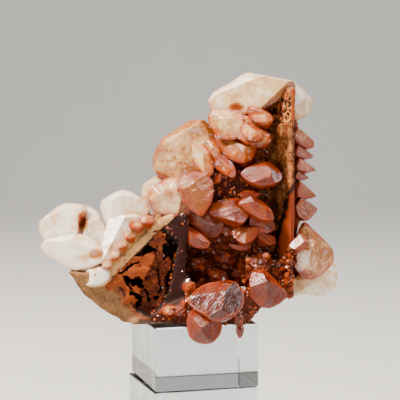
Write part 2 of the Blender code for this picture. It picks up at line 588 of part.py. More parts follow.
def blade(name, collection, grow):
    """The thin wall on the right, that runs back from its front edge."""
    top = sight(*BLADE_TOP)
    foot = sight(*BLADE_FOOT)
    inward = direction(BLADE_TURN, 0)
    bm = bmesh.new()
    bmesh.ops.create_cube(bm, size=1.0)
    size = Vector((BLADE_THICKNESS, BLADE_DEPTH, (top - foot).length)) + Vector((2 * grow, 2 * grow, 2 * grow))
    bmesh.ops.transform(bm, matrix=Matrix.Diagonal((*size, 1.0)), verts=bm.verts)
    upward = (top - foot).normalized()
    side = inward.cross(upward).normalized()
    turned = Matrix((side, -side.cross(upward), upward)).transposed()
    bmesh.ops.transform(bm, matrix=turned.to_4x4(), verts=bm.verts)
    return as_object(name, bm, (top + foot) / 2 - inward * BLADE_DEPTH / 2, collection)


def crust(name, collection):
    """The thin, broken sheet of small crystals that lines the hollow mould."""
    sheet = prism(name, CRUST, CRUST_FRONT, CRUST_BACK, collection)
    for outline in CRUST_HOLES:
        hole = prism("hole", outline, CRUST_FRONT - 2, CRUST_BACK + 2, collection)
        apply_solid(sheet, hole, "DIFFERENCE")
    lining = prism("lining", MOULD, LINING_FRONT, LINING_BACK, collection, LINING_TAPER)
    inside = prism("inside", MOULD, LINING_FRONT - 2, LINING_DEEPEST, collection, MOULD_TAPER, -LINING_THICKNESS)
    apply_solid(lining, inside, "DIFFERENCE")
    apply_solid(sheet, lining, "UNION")
    return sheet


def cluster(name, rows, collection, grow=0.0):
    parts = [crystal(name, row, collection, grow) for row in rows]
    return joined(name, parts)


def stand_block(name, turn, shift, bottom, collection):
    bm = bmesh.new()
    bmesh.ops.create_cube(bm, size=1.0)
    size = Matrix.Diagonal((BLOCK_WIDTH, BLOCK_WIDTH, BLOCK_HEIGHT, 1.0))
    bmesh.ops.transform(bm, matrix=size, verts=bm.verts)
    bmesh.ops.bevel(
        bm, geom=bm.edges[:], offset=BLOCK_BEVEL, offset_type="OFFSET",
        segments=1, profile=0.5, affect="EDGES", material=-1,
    )
    bmesh.ops.rotate(bm, cent=(0, 0, 0), matrix=Matrix.Rotation(math.radians(turn), 3, "Z"), verts=bm.verts)
    return as_object(name, bm, (shift, 0, bottom + BLOCK_HEIGHT / 2), collection)


def material(name, colour, roughness):
    made = bpy.data.materials.new(name)
    made.use_nodes = True
    shader = made.node_tree.nodes["Principled BSDF"]
    shader.inputs["Base Color"].default_value = (*colour, 1.0)
    shader.inputs["Roughness"].default_value = roughness
    return made


COLOURS = {
    "stand_block_lower": ((0.80, 0.86, 0.88), 0.08),
    "stand_block_upper": ((0.80, 0.86, 0.88), 0.08),
    "matrix": ((0.22, 0.09, 0.04), 0.7),
    "vug_crust": ((0.30, 0.10, 0.04), 0.6),
    "crown_crystals": ((0.86, 0.66, 0.52), 0.35),
    "shoulder_crystals": ((0.78, 0.66, 0.56), 0.35),
    "saddle_crystals": ((0.70, 0.36, 0.24), 0.35),
    "blade_face_crystal": ((0.66, 0.26, 0.14), 0.35),
    "blade_edge_crystals": ((0.80, 0.40, 0.24), 0.35),
    "lower_crystals": ((0.72, 0.26, 0.12), 0.35),
    "lower_right_crystal": ((0.74, 0.28, 0.14), 0.35),
    "side_crystals": ((0.82, 0.62, 0.50), 0.35),
    "left_crystals": ((0.88, 0.74, 0.62), 0.35),
    "back_crystals": ((0.86, 0.76, 0.66), 0.35),
}


def main():
    for item in list(bpy.data.objects):
        bpy.data.objects.remove(item)
    collection = bpy.data.collections.new("calcite_specimen")
    bpy.context.scene.collection.children.link(collection)
    matrix = matrix_solid("matrix", collection)
    made = [
        stand_block("stand_block_lower", LOWER_BLOCK_TURN, LOWER_BLOCK_SHIFT, 0.0, collection),
        stand_block("stand_block_upper", UPPER_BLOCK_TURN, 0.0, BLOCK_HEIGHT + GAP, collection),
        matrix,
    ]
    earlier = []
    for name, rows in CLUSTERS.items():
        item = cluster(name, rows, collection)
        stand = stand_block("gap", UPPER_BLOCK_TURN, 0.0, BLOCK_HEIGHT + GAP, collection)
        stand.data.transform(Matrix.Translation((0, 0, GAP * MM)))
        tools = [stand, matrix_solid("grown", collection, GAP)]
        tools += [cluster("grown", CLUSTERS[other], collection, GAP) for other in earlier]
        cut_by(item, tools)
        keep_largest(item)
        item.name = name
        made.append(item)
        earlier.append(name)
    keep_largest(matrix)
    lining = crust("vug_crust", collection)
    cut_by(lining, [matrix_solid("grown", collection, GAP)])
    keep_largest(lining)
    made.append(lining)
    for item in made:
        item.data.name = item.name
        item.data.materials.clear()
        item.data.materials.append(material(item.name, *COLOURS[item.name]))


main()
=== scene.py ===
"""Looks of the calcite specimen and its stand of clear blocks.

The crystals are cut from the same table of places as the solids, with finer
blanks and worn edges. The matrix is a copy of its solid, roughened and
coloured by where its parts lie, and sown with fine crystals.
"""

import math
import random

import bmesh
import bpy
from mathutils import Matrix, Vector, noise


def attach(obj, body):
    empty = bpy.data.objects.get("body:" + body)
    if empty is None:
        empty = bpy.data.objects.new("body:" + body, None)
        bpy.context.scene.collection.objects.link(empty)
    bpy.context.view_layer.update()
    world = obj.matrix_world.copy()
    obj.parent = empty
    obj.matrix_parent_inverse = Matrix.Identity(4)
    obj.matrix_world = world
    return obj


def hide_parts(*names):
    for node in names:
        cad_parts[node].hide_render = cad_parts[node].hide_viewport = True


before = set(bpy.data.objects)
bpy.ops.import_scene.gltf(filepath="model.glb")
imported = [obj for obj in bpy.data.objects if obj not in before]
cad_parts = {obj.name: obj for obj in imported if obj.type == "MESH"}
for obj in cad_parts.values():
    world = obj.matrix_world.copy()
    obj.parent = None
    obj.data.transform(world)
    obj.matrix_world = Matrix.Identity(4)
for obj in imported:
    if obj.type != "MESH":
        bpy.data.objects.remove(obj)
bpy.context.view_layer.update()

MM = 0.001

# The stand's blocks, as in the solids.
BLOCK_WIDTH = 40.0
BLOCK_HEIGHT = 24.0
BLOCK_GAP = 0.3
UPPER_BLOCK_TURN = 15.5
LOWER_BLOCK_TURN = 17.0
LOWER_BLOCK_SHIFT = -0.7

# The sight that places are read in: a picture of 400 x 400 pixels, in which
# a block is BLOCK_PIXELS wide. The camera stands where the sight starts.
PICTURE_MIDDLE = 200.0
BLOCK_PIXELS = 104.4
SIGHT_FOCUS = 1500.0
SIGHT_TILT = math.radians(5.2)
SIGHT_DISTANCE = SIGHT_FOCUS * BLOCK_WIDTH / BLOCK_PIXELS
SIGHT_TARGET = Vector((2.45, 0.0, 93.8))
FORWARD = Vector((0.0, math.cos(SIGHT_TILT), -math.sin(SIGHT_TILT)))
UPWARD = Vector((0.0, math.sin(SIGHT_TILT), math.cos(SIGHT_TILT)))
EYE = SIGHT_TARGET - FORWARD * SIGHT_DISTANCE


def sight(column, row, depth):
    """The point seen at a picture column and row, at a depth behind the stand's axis."""
    ray = FORWARD * SIGHT_FOCUS + UPWARD * (PICTURE_MIDDLE - row)
    ray.x += column - PICTURE_MIDDLE
    return EYE + ray * ((depth - EYE.y) / ray.y)


def seen(point):
    """The picture column and row at which a point is seen."""
    ray = point - EYE
    scale_here = SIGHT_FOCUS / ray.dot(FORWARD)
    return PICTURE_MIDDLE + ray.x * scale_here, PICTURE_MIDDLE - ray.dot(UPWARD) * scale_here


def direction(turn, rise):
    """The unit vector that turns right from the line to the viewer, and rises."""
    turn, rise = math.radians(turn), math.radians(rise)
    flat = math.cos(rise)
    return Vector((math.sin(turn) * flat, -math.cos(turn) * flat, math.sin(rise)))


def facing(axis, roll):
    """The rotation to a frame whose Z is the axis and whose X is level, turned by roll."""
    side = Vector((0.0, 0.0, 1.0)).cross(axis)
    side = side.normalized() if side.length > 1e-6 else Vector((1.0, 0.0, 0.0))
    turned = Matrix((side, axis.cross(side), axis)).transposed()
    return turned @ Matrix.Rotation(math.radians(roll), 3, "Z")


# Crystals
#
# A plate is a crystal whose outline is seen in the picture. Its girdle lies in
# a plane that faces aim, flat faces rise from the girdle to the apex, and a
# root tapers away behind it. A face is the picture angle that it falls
# towards, with its slope and a picture place that it passes through where it
# doesn't pass through the apex. A scale is the same on an oval outline.
# tone runs from 0, cream white, to 1, rust red, and rim is how strongly the
# edge is stained and how strongly painted shade darkens the faces that turn
# down or right. ribs is the picture angle of the growth lines.

def plate(outline, depth, aim, apex, faces, root=10, ribs=30, tone=0.2, rim=0.8):
    return dict(
        outline=outline, depth=depth, aim=aim, apex=apex, faces=faces, root=root, ribs=ribs, tone=tone, rim=rim,
    )


def scale(place, wide, high, turn, rise, roll=0, spin=90, cap=28, root=9, peak=0.5,
          lean=(0.0, 0.0), tone=0.2, rim=0.6):
    return dict(
        place=place, wide=wide, high=high, turn=turn, rise=rise, roll=roll, spin=spin,
        cap=cap, root=root, peak=peak, lean=lean, tone=tone, rim=rim,
    )


OVAL_CORNERS = 14
FRONT_REACH = 12.0
EDGE_HEIGHT = 0.25
LEAST_RUN = 1.0
ROOT_STEPS = ((0.3, 0.90), (0.65, 0.70), (1.0, 0.38))


def in_plane(column, row, origin, axis):
    """The point of a plane that is seen at a picture column and row."""
    ray = FORWARD * SIGHT_FOCUS + UPWARD * (PICTURE_MIDDLE - row)
    ray.x += column - PICTURE_MIDDLE
    return EYE + ray * ((origin - EYE).dot(axis) / ray.dot(axis))


def faces_of(row, flat, apex, height):
    """A point and a normal for each flat face of a plate."""
    angles = [entry[0] if isinstance(entry, tuple) else entry for entry in row["faces"]]
    nearest = []
    for point in flat:
        angle = math.degrees(math.atan2(point.y - apex.y, point.x - apex.x))
        nearest.append(min(range(len(angles)), key=lambda i: abs((angles[i] - angle + 180) % 360 - 180)))
    planes = []
    for index, entry in enumerate(row["faces"]):
        angle = math.radians(angles[index])
        fall = Vector((math.cos(angle), math.sin(angle)))
        own = [point.dot(fall) for point, face in zip(flat, nearest) if face == index]
        far = max(own, default=max(point.dot(fall) for point in flat))
        run = entry[1] if isinstance(entry, tuple) else max(far - apex.dot(fall), LEAST_RUN)
        slope = (height - EDGE_HEIGHT) / run
        normal = Vector((fall.x * slope, fall.y * slope, 1.0)).normalized()
        planes.append((Vector((fall.x * far, fall.y * far, EDGE_HEIGHT)), normal))
    return planes


def laid_out(row):
    """A crystal's girdle in its own plane, its face planes, its turn and its origin."""
    if "outline" in row:
        axis = direction(*row["aim"])
        column = sum(place[0] for place in row["outline"]) / len(row["outline"])
        line = sum(place[1] for place in row["outline"]) / len(row["outline"])
        origin = sight(column, line, row["depth"])
        turned = facing(axis, 0)
        back = turned.inverted()
        place_of = lambda c, r: (back @ (in_plane(c, r, origin, axis) - origin)).to_2d()
        flat = [place_of(*place) for place in row["outline"]]
        apex = place_of(*row["apex"][:2])
        planes = faces_of(row, flat, apex, row["apex"][2])
        return flat, planes, turned, origin
    wide, high = row["wide"], row["high"]
    mean = (wide + high) / 2
    flat = []
    for corner in range(OVAL_CORNERS):
        angle = math.tau * corner / OVAL_CORNERS
        flat.append(Vector((wide * math.cos(angle), high * math.sin(angle))))
    peak = Vector((row["lean"][0] * wide, row["lean"][1] * high, row["peak"] * mean))
    slope = math.tan(math.radians(row["cap"]))
    planes = []
    for third in range(3):
        angle = math.radians(row["spin"] - row["roll"] + 120 * third)
        planes.append((peak, Vector((math.cos(angle) * slope, math.sin(angle) * slope, 1.0)).normalized()))
    return flat, planes, facing(direction(row["turn"], row["rise"]), row["roll"]), sight(*row["place"])


def cut_face(bm, point, normal):
    """Cuts off what lies beyond a plane, and closes the cut with a flat face."""
    bmesh.ops.bisect_plane(
        bm, geom=bm.verts[:] + bm.edges[:] + bm.faces[:], dist=1e-5,
        plane_co=point, plane_no=normal, clear_outer=True,
    )
    rim = [edge for edge in bm.edges if edge.is_boundary]
    if rim:
        bmesh.ops.holes_fill(bm, edges=rim, sides=0)


def blank(flat, root):
    """The uncut crystal: its outline drawn out to the front, and tapering to a root behind."""
    bm = bmesh.new()
    middle = sum(flat, Vector((0.0, 0.0))) / len(flat)
    girdle = bm.faces.new([bm.verts.new((point.x, point.y, 0.0)) for point in flat])
    end, last = girdle, 1.0
    for deep, narrow in ROOT_STEPS:
        swept = bmesh.ops.extrude_face_region(bm, geom=[end])["geom"]
        if end is not girdle:
            bm.faces.remove(end)
        end = [item for item in swept if isinstance(item, bmesh.types.BMFace)][0]
        for vertex in end.verts:
            place = middle + (vertex.co.to_2d() - middle) * narrow / last
            vertex.co = (place.x, place.y, -root * deep)
        last = narrow
    for item in bmesh.ops.extrude_face_region(bm, geom=[girdle])["geom"]:
        if isinstance(item, bmesh.types.BMVert):
            item.co.z = FRONT_REACH
    bm.faces.remove(girdle)
    bmesh.ops.recalc_face_normals(bm, faces=bm.faces)
    return bm


def worn_edges(bm, width):
    """A narrow bevel along the sharp edges, as on a crystal that has been handled."""
    sharp = [edge for edge in bm.edges if len(edge.link_faces) == 2 and edge.calc_face_angle() > 0.2]
    bmesh.ops.bevel(
        bm, geom=sharp, offset=width, offset_type="OFFSET", segments=1,
        profile=0.5, affect="EDGES", material=-1, clamp_overlap=True,
    )


def refined(bm, longest):
    """Halves the long edges until the skin is fine enough to carry growth and stain."""
    bmesh.ops.triangulate(bm, faces=bm.faces[:])
    for _ in range(6):
        coarse = [edge for edge in bm.edges if edge.calc_length() > longest]
        if not coarse:
            break
        bmesh.ops.subdivide_edges(bm, edges=coarse, cuts=1)
        bmesh.ops.triangulate(bm, faces=bm.faces[:])


def off_ring(ring, place):
    """How far a place is from a closed ring of points."""
    best = 1e9
    for start, end in zip(ring, ring[1:] + ring[:1]):
        run = end - start
        along = max(0.0, min(1.0, (place - start).dot(run) / max(run.length_squared, 1e-9)))
        best = min(best, (place - start - run * along).length)
    return best


def rounded(flat, corners):
    """An outline with its corners cut off once, for the rounder rims."""
    if not corners:
        return flat
    cut = []
    for before, after in zip(flat, flat[1:] + flat[:1]):
        cut += [before.lerp(after, 0.2), before.lerp(after, 0.8)]
    return cut


# Rust stains on the pale crystals: where they are seen, half width, half height and strength.
STAINS = [
    ((83, 221), 6, 12, 0.62), ((96, 254), 9, 7, 0.42), ((84, 258), 14, 5, 0.22), ((110, 247), 5, 9, 0.2),
    ((236, 107), 9, 5, 0.45), ((254, 112), 12, 4, 0.3), ((216, 133), 8, 8, 0.16), ((160, 176), 12, 6, 0.14),
    ((294, 258), 6, 18, 0.4), ((300, 274), 10, 8, 0.3), ((190, 172), 10, 8, 0.16), ((150, 205), 8, 6, 0.2),
]


def stain_at(column, row):
    """How strongly the rust stains a place of the picture."""
    found = 0.0
    for (middle, line), wide, high, strength in STAINS:
        found += strength * max(0.0, 1 - ((column - middle) / wide) ** 2 - ((row - line) / high) ** 2)
    return found


def crystal(row, draw):
    """One crystal's mesh in its place, with the attributes that its material reads."""
    flat, planes, turned, origin = laid_out(row)
    bm = blank(rounded(flat, row["rim"] > 0.6), row["root"])
    for point, normal in planes:
        cut_face(bm, point, normal)
    normals = [normal for point, normal in planes]
    for point, normal in planes:
        step = normal.copy()
        step.rotate(Matrix.Rotation(math.radians(draw.uniform(2.5, 5.0)), 3, Vector((0, 0, 1)).orthogonal()))
        step.rotate(Matrix.Rotation(draw.uniform(0, math.tau), 3, normal))
        far = max((vertex.co.dot(step) for vertex in bm.verts), default=0.0)
        normals.append(step)
        cut_face(bm, step * (far - draw.uniform(0.08, 0.25)), step)
    worn_edges(bm, 0.12)
    refined(bm, 1.1 if "outline" in row else 1.8)
    bm.normal_update()
    shift = Vector((draw.random(), draw.random(), draw.random())) * 50
    for vertex in bm.verts:
        swell = noise.noise(vertex.co / 2.6 + shift) + 0.5 * noise.noise(vertex.co / 1.1 + shift)
        vertex.co += vertex.normal * swell * (0.07 if vertex.co.z > 0.1 else 0.18)
    bm.normal_update()
    tone = bm.faces.layers.float.new("tone")
    ribbed = bm.faces.layers.float.new("ribbed")
    rim = bm.verts.layers.float.new("rim")
    deep = bm.verts.layers.float.new("deep")
    from_edge = bm.verts.layers.float.new("from_edge")
    grain = bm.loops.layers.uv.new("grain")
    for vertex in bm.verts:
        vertex[rim] = row["rim"]
        vertex[deep] = max(0.0, -vertex.co.z)
        vertex[from_edge] = off_ring(flat, vertex.co.to_2d())
    rib_angle = math.radians(row.get("ribs", draw.uniform(15, 60)))
    rib_line = Vector((math.cos(rib_angle), math.sin(rib_angle), 0.0))
    slide = Vector((draw.uniform(0, 40), draw.uniform(0, 40)))
    shade = [draw.uniform(-0.11, 0.11) for _ in normals]
    for face in bm.faces:
        face.smooth = True
        near = max(range(len(normals)), key=lambda i: face.normal.dot(normals[i]))
        flat_face = face.normal.dot(normals[near]) > 0.985
        along = (rib_line - face.normal * rib_line.dot(face.normal)).normalized()
        across = face.normal.cross(along)
        world = turned @ face.normal
        face[ribbed] = (1.0 if flat_face else 0.25) * (1.0 if row["tone"] > 0.35 else 0.35)
        # Painted shade: faces that turn down or to the right get a darker, redder tone and faces that turn left a
        # lighter one, by how the lamps fall on them, scaled by the rim stain.
        fall = 0.40 * max(0.0, -world.z) + 0.12 * max(0.0, world.x) - 0.10 * max(0.0, -world.x)
        face[tone] = row["tone"] + fall * row["rim"] + (shade[near] if flat_face else 0.05)
        if world.y < 0.2:
            face[tone] += stain_at(*seen(origin + turned @ face.calc_center_median()))
        for loop in face.loops:
            co = loop.vert.co
            loop[grain].uv = slide + Vector((co.dot(across), co.dot(along) + (7 * near if flat_face else 0)))
    for edge in bm.edges:
        if len(edge.link_faces) == 2 and edge.calc_face_angle() > 0.3:
            edge.smooth = False
    bmesh.ops.transform(bm, matrix=Matrix.Translation(origin) @ turned.to_4x4(), verts=bm.verts)
    mesh = bpy.data.meshes.new("crystal")
    bm.to_mesh(mesh)
    bm.free()
    return mesh


def crystal_group(name, rows, seed):
    """The crystals of one node as one piece, in metres."""
    draw = random.Random(seed)
    bm = bmesh.new()
    for row in rows:
        mesh = crystal(row, draw)
        bm.from_mesh(mesh)
        bpy.data.meshes.remove(mesh)
    bmesh.ops.transform(bm, matrix=Matrix.Scale(MM, 4), verts=bm.verts)
    return piece(name, bm)


def piece(name, bm):
    mesh = bpy.data.meshes.new(name)
    bm.to_mesh(mesh)
    bm.free()
    made = bpy.data.objects.new(name, mesh)
    bpy.context.scene.collection.objects.link(made)
    return made

CROWN = [
    plate([(250.5, 70.8), (258.5, 73), (276, 77.3), (293.6, 81.5), (296, 86.5), (286, 93), (277, 101.5),
          (269, 106), (262, 110.5), (246, 114.5), (230, 114), (215, 112.5), (209.5, 107), (208.2, 100),
          (213, 92.5), (222, 88), (232, 82.5), (239, 76)], 1, (-16, 24), (264, 85, 6.2), [(80, 3.2),
          (-99, 22), (160, 8), (-54, 3.4), (122, 9)], root=14, ribs=24, tone=0.12, rim=0.5),
    plate([(292, 82), (299.7, 85), (308.4, 94.7), (312.8, 102.3), (309.4, 108), (310.6, 112),
          (303, 117), (296.5, 121), (287, 116), (285, 98)], 6, (38, 12), (301, 99, 3.6), [50, -35, 170,
          -120], root=9, ribs=70, tone=0.1, rim=0.3),
    plate([(214, 108), (208, 116), (208, 121), (211, 128), (216, 136.5), (222, 140.5), (234, 140),
          (245, 134), (246, 118), (232, 107), (222, 106)], -1, (-24, 24), (222, 121, 2.6), [(80, 6),
          (-60, 9), (-150, 5), (180, 5)], root=12, ribs=60, tone=0.28, rim=0.9),
    plate([(229, 109), (223.8, 115), (224, 121), (227, 127.5), (233.5, 133), (238, 139), (245.5, 143.8),
          (254, 145.5), (266.5, 146), (271.5, 140.2), (269.4, 133.5), (262, 126.5), (253, 119),
          (242, 112)], -5, (-16, 30), (250, 124, 3.4), [(54, 6), (-136, 11), (-95, 8), (-20, 5),
          (180, 9)], root=12, ribs=32, tone=0.36, rim=1),
    plate([(244, 124), (240.3, 129.5), (241.3, 135.5), (248.5, 140.5), (258.5, 141.3), (264.5, 137),
          (263, 131.5), (255, 125.5), (249, 123.3)], -9, (-10, 34), (254, 129, 2.4), [(60, 3),
          (-135, 5.5), (-80, 3), (-10, 3.4)], root=9, ribs=32, tone=0.4, rim=0.9),
    plate([(247, 108), (247.5, 113), (251, 119), (258, 123.5), (267, 125.3), (272.6, 121.8),
          (273.4, 117), (266, 111), (257, 107)], -8, (-6, 36), (262, 114, 2.4), [(60, 3), (-130, 6),
          (-90, 3), (-10, 4)], root=9, ribs=30, tone=0.34, rim=0.9),
    plate([(217, 136), (216, 142), (219.3, 149), (226, 156.5), (236, 162), (244.5, 163.5), (252, 159),
          (256.6, 152), (256.5, 147), (247, 144.5), (237, 139), (226, 134)], -4, (-16, 32),
          (238, 144, 3), [(70, 3.4), (-140, 9), (-115, 6), (-35, 4.5)], root=12, ribs=36, tone=0.46,
          rim=1),
    plate([(209.5, 153), (208.4, 158.5), (214.5, 168), (225, 175.5), (233.5, 178.3), (237, 174),
          (235, 166), (227, 157), (217.5, 152.5)], -5, (-22, 26), (222, 161, 2.4), [(55, 4), (-125, 6),
          (-70, 5), (170, 4)], root=10, ribs=40, tone=0.64, rim=1),
]

SHOULDER = [
    plate([(148, 152), (161, 140), (176, 129.4), (187.5, 121.8), (197, 121.2), (206, 122.5), (213, 128),
          (216, 142), (206, 166), (185, 179), (163, 181.5), (156.6, 175), (149.2, 162)], 4, (-16, 22),
          (186, 146, 5.2), [(-60, 20), (125, 6), (170, 3.6), (-110, 4), (-150, 3.6), (10, 7)], root=14,
          ribs=28, tone=0.38, rim=0.25),
    plate([(186, 143.5), (187, 150), (190.5, 158), (197.5, 168.5), (204.5, 176), (212, 177), (215, 166),
          (211, 152), (204, 143), (194, 140.8)], -1, (-24, 22), (200, 152, 2.8), [(70, 4), (-145, 6),
          (-20, 7)], root=11, ribs=60, tone=0.32, rim=0.9),
    plate([(205, 142), (207, 150), (210.5, 158), (217, 162), (222, 156), (221, 147), (216, 141),
          (210, 139)], -1, (-22, 26), (213, 147, 2.2), [(60, 3), (-150, 3), (-40, 5)], root=10, ribs=50,
          tone=0.36, rim=1),
    plate([(211, 172), (211, 179), (215, 184.5), (221, 182), (222, 175), (217, 170)], -4, (-20, 26),
          (216, 175, 1.8), [60, -150, -50], root=9, ribs=50, tone=0.6, rim=1),
    plate([(141, 192), (145.5, 185), (153, 177), (160, 176), (165, 182), (157, 192), (149, 201),
          (143, 199)], 4, (-40, 28), (153, 186, 2.4), [(125, 3), (-140, 4), (-30, 5)], root=10, ribs=50,
          tone=0.14, rim=0.15),
]

SADDLE = [
    plate([(148, 199), (150, 190.5), (156, 184), (165, 179), (178, 176), (190, 190), (192, 208),
          (187, 217.5), (172, 216), (159, 214.5), (151, 209.5)], -8, (-2, 20), (174, 194, 3.6),
          [(118, 7), (-125, 9), (-50, 6), (165, 6)], root=12, ribs=24, tone=0.3, rim=0.8),
    plate([(176.5, 189), (178.5, 180), (184.5, 174), (194, 171.3), (206, 173.5), (213, 181), (214, 192),
          (211.5, 203), (206, 212), (201, 217), (194, 213), (187, 207), (180, 200)], -11, (-8, 22),
          (196, 186, 4), [(100, 5), (140, 6), (-52, 10), (-132, 5), (0, 6)], root=14, ribs=34,
          tone=0.49, rim=1),
    plate([(181, 205), (187, 218), (194, 229), (204, 236.5), (214.5, 238), (222, 232.5), (224, 224),
          (218, 213), (205, 206), (193, 200)], -9, (-4, 2), (204, 218, 3.6), [(60, 6), (-75, 5),
          (-140, 7), (-30, 5)], root=10, ribs=-30, tone=0.7, rim=1),
    plate([(179.4, 227), (181.5, 234.5), (187.5, 243), (196, 248.3), (207, 249), (211, 243.5),
          (204, 236), (195, 229), (186, 224.3)], -12, (-8, 20), (192, 234, 2.6), [(50, 3), (-145, 3.4),
          (-95, 4), (-30, 5)], root=8, ribs=-38, tone=0.7, rim=1),
    plate([(208.6, 210.5), (212, 205), (218, 201.5), (229, 198.8), (239.5, 198.8), (247, 206.5),
          (250, 215), (242, 224.5), (233, 222), (220, 218), (211, 215.5)], -10, (0, 40),
          (228, 211, 2.8), [(95, 4.6), (-115, 3.6), (-40, 6), (40, 5), (150, 5)], root=12, ribs=20,
          tone=0.72, rim=0.9),
    plate([(237, 204), (243, 197.5), (249, 194.5), (256, 196.5), (265, 203.5), (272, 213), (274, 221.5),
          (262, 220), (249, 213)], -11, (8, 36), (256, 205, 2.8), [(50, 4), (140, 5), (-125, 4),
          (-60, 6)], root=10, ribs=-40, tone=0.68, rim=0.9),
    plate([(250, 212), (261, 219), (273, 222), (276, 229), (269, 233.5), (257, 232), (249, 225)], -9,
          (10, 24), (263, 224, 2.2), [(70, 3), (-140, 4), (-50, 4)], root=9, ribs=-30, tone=0.7,
          rim=0.9),
    plate([(229, 231), (233.5, 226.5), (243, 225), (252, 225.5), (258, 229), (258.7, 234), (252.5, 241),
          (243.5, 244.8), (235, 239)], -11, (2, 34), (245, 230, 2.6), [(90, 2.6), (-125, 5.5), (-45, 4),
          (150, 4)], root=9, ribs=38, tone=0.56, rim=1),
    plate([(257, 231), (266.5, 230.5), (274, 238), (276.5, 245), (267, 245), (258.5, 238.5)], -9,
          (20, 26), (266, 236, 1.8), [(60, 2.4), (-130, 3.4), (-50, 3)], root=9, ribs=-40, tone=0.7,
          rim=0.9),
    plate([(227, 241), (236, 246), (246, 244.5), (252, 244), (250, 249.5), (240, 251), (231, 248)], -9,
          (0, 20), (240, 247, 1.6), [(85, 2), (-110, 2.4), (-20, 3)], root=8, ribs=10, tone=0.7, rim=1),
    plate([(239, 195), (244, 191.8), (250, 190.5), (257, 193), (260, 197), (250, 199.5), (243, 198.5)],
          -9, (6, 36), (250, 194.5, 1.6), [(90, 1.6), (-100, 2)], root=8, ribs=15, tone=0.74, rim=0.9),
    plate([(222, 228), (228, 224), (234, 226), (235, 232), (229, 237), (223, 235)], -9, (0, 20),
          (229, 230, 1.6), [90, -150, -30], root=8, ribs=-20, tone=0.7, rim=1),
]

BLADE_FACE = [
    plate([(240, 172.8), (248, 168), (258, 165), (267, 161.6), (271.5, 163.5), (277, 168.5),
          (281.8, 174), (281.8, 180.5), (272, 186), (258.5, 186), (249.5, 182.5), (242.5, 177.5)], -10,
          (4, 34), (267, 171, 3.6), [(105, 3.4), (45, 4), (-100, 3.6), (-150, 10), (-20, 4.6)], root=9,
          ribs=20, tone=0.78, rim=1),
]

BLADE_EDGE = [
    plate([(293.5, 126), (299.5, 129.5), (306, 138), (314.6, 148), (308, 149), (299, 144),
          (292.5, 138)], -3, (40, 28), (301, 140, 2.2), [(45, 2), (-130, 3), (-95, 2.6)], root=8,
          ribs=-48, tone=0.39, rim=0.9),
    plate([(295, 145), (302, 147), (308.5, 152), (313.2, 158.3), (305, 159.5), (295.5, 155)], -3,
          (42, 24), (302, 153, 1.8), [(50, 2), (-120, 2.4)], root=8, ribs=-44, tone=0.47, rim=0.9),
    plate([(296, 157), (304, 160), (310.5, 165.5), (315.4, 172), (307, 173), (296, 169)], -3, (42, 24),
          (303, 166, 1.8), [(48, 2), (-115, 2.4)], root=8, ribs=-44, tone=0.47, rim=0.9),
    plate([(296, 170), (303, 173), (309, 178.5), (302, 181), (294.5, 178)], -3, (42, 20),
          (301, 176, 1.5), [(50, 2), (-110, 2)], root=7, ribs=-44, tone=0.55, rim=0.9),
    plate([(296, 182), (303, 183.5), (309, 188.5), (315.3, 197), (308, 199.5), (298, 198), (294, 190)],
          -3, (42, 20), (304, 192, 2), [(48, 2.4), (-110, 2.6)], root=8, ribs=-44, tone=0.45, rim=0.9),
    plate([(297, 199), (305, 200), (313, 205), (318, 210), (312, 216.5), (305.5, 222), (298, 216),
          (294, 207)], -3, (40, 16), (306, 208, 2.4), [(50, 2.6), (-45, 4), (-140, 4)], root=9,
          ribs=-44, tone=0.47, rim=0.9),
]

LOWER = [
    plate([(189, 299.5), (193.5, 291.5), (203, 285), (215, 282.5), (226, 280.3), (236.5, 286.5),
          (244.5, 296), (243.3, 307), (235, 316), (222, 321.5), (211, 321.3), (202, 315),
          (193.5, 309.3), (189, 304.5)], -25, (0, 36), (226, 296, 4.6), [(95, 4), (125, 8), (-160, 12),
          (-92, 3.4), (-25, 7)], root=10, ribs=48, tone=0.85, rim=1),
    plate([(191, 309), (187, 318), (186.5, 328), (190, 338.5), (197, 343), (205, 344.6), (213, 343),
          (219, 337), (222, 330), (222.5, 321), (212, 318), (200, 311)], -27, (-6, 14), (204, 325, 3.6),
          [(90, 6), (-170, 5), (-92, 4), (-20, 6)], root=11, ribs=80, tone=0.75, rim=1),
]

LOWER_RIGHT = [
    plate([(249.6, 277), (253, 271.3), (262.5, 269), (269.5, 273.5), (280, 286.5), (288, 294.5),
          (282.5, 302), (271.5, 308.5), (260.5, 307.5), (252, 298.5), (249, 288)], -18, (12, 20),
          (265, 281, 5.2), [(100, 3.4), (150, 5), (44, 4), (-48, 9), (-140, 6), (-95, 5)], root=11,
          ribs=62, tone=0.74, rim=0.9),
]

SIDE = [
    plate([(303, 221), (307, 223), (315, 231), (325, 242), (331, 251), (334, 262), (324, 273.5),
          (312, 280.3), (302, 278), (294.5, 268.5), (289, 258), (289.5, 247), (297, 235)], -6, (18, 18),
          (313, 250, 5), [(48, 5), (-45, 9), (-100, 6), (-165, 6), (140, 6)], root=13, ribs=60,
          tone=0.27, rim=0.8),
    plate([(288.5, 247), (293, 240), (299.5, 233.5), (306.5, 238), (306.5, 248.5), (298, 252.3)], -12,
          (0, 26), (299, 243, 2.2), [(60, 3), (-60, 2.4), (150, 4)], root=9, ribs=40, tone=0.39, rim=1),
    plate([(328, 250), (334.4, 262), (336.8, 277), (334.5, 289), (328, 292), (323.5, 296.6),
          (312.5, 295.5), (300, 294.2), (287, 298), (286, 288), (300, 270)], 3, (24, 8),
          (316, 276, 3.8), [(30, 6), (-30, 7), (-90, 5), (180, 9)], root=12, ribs=15, tone=0.17, rim=0),
]

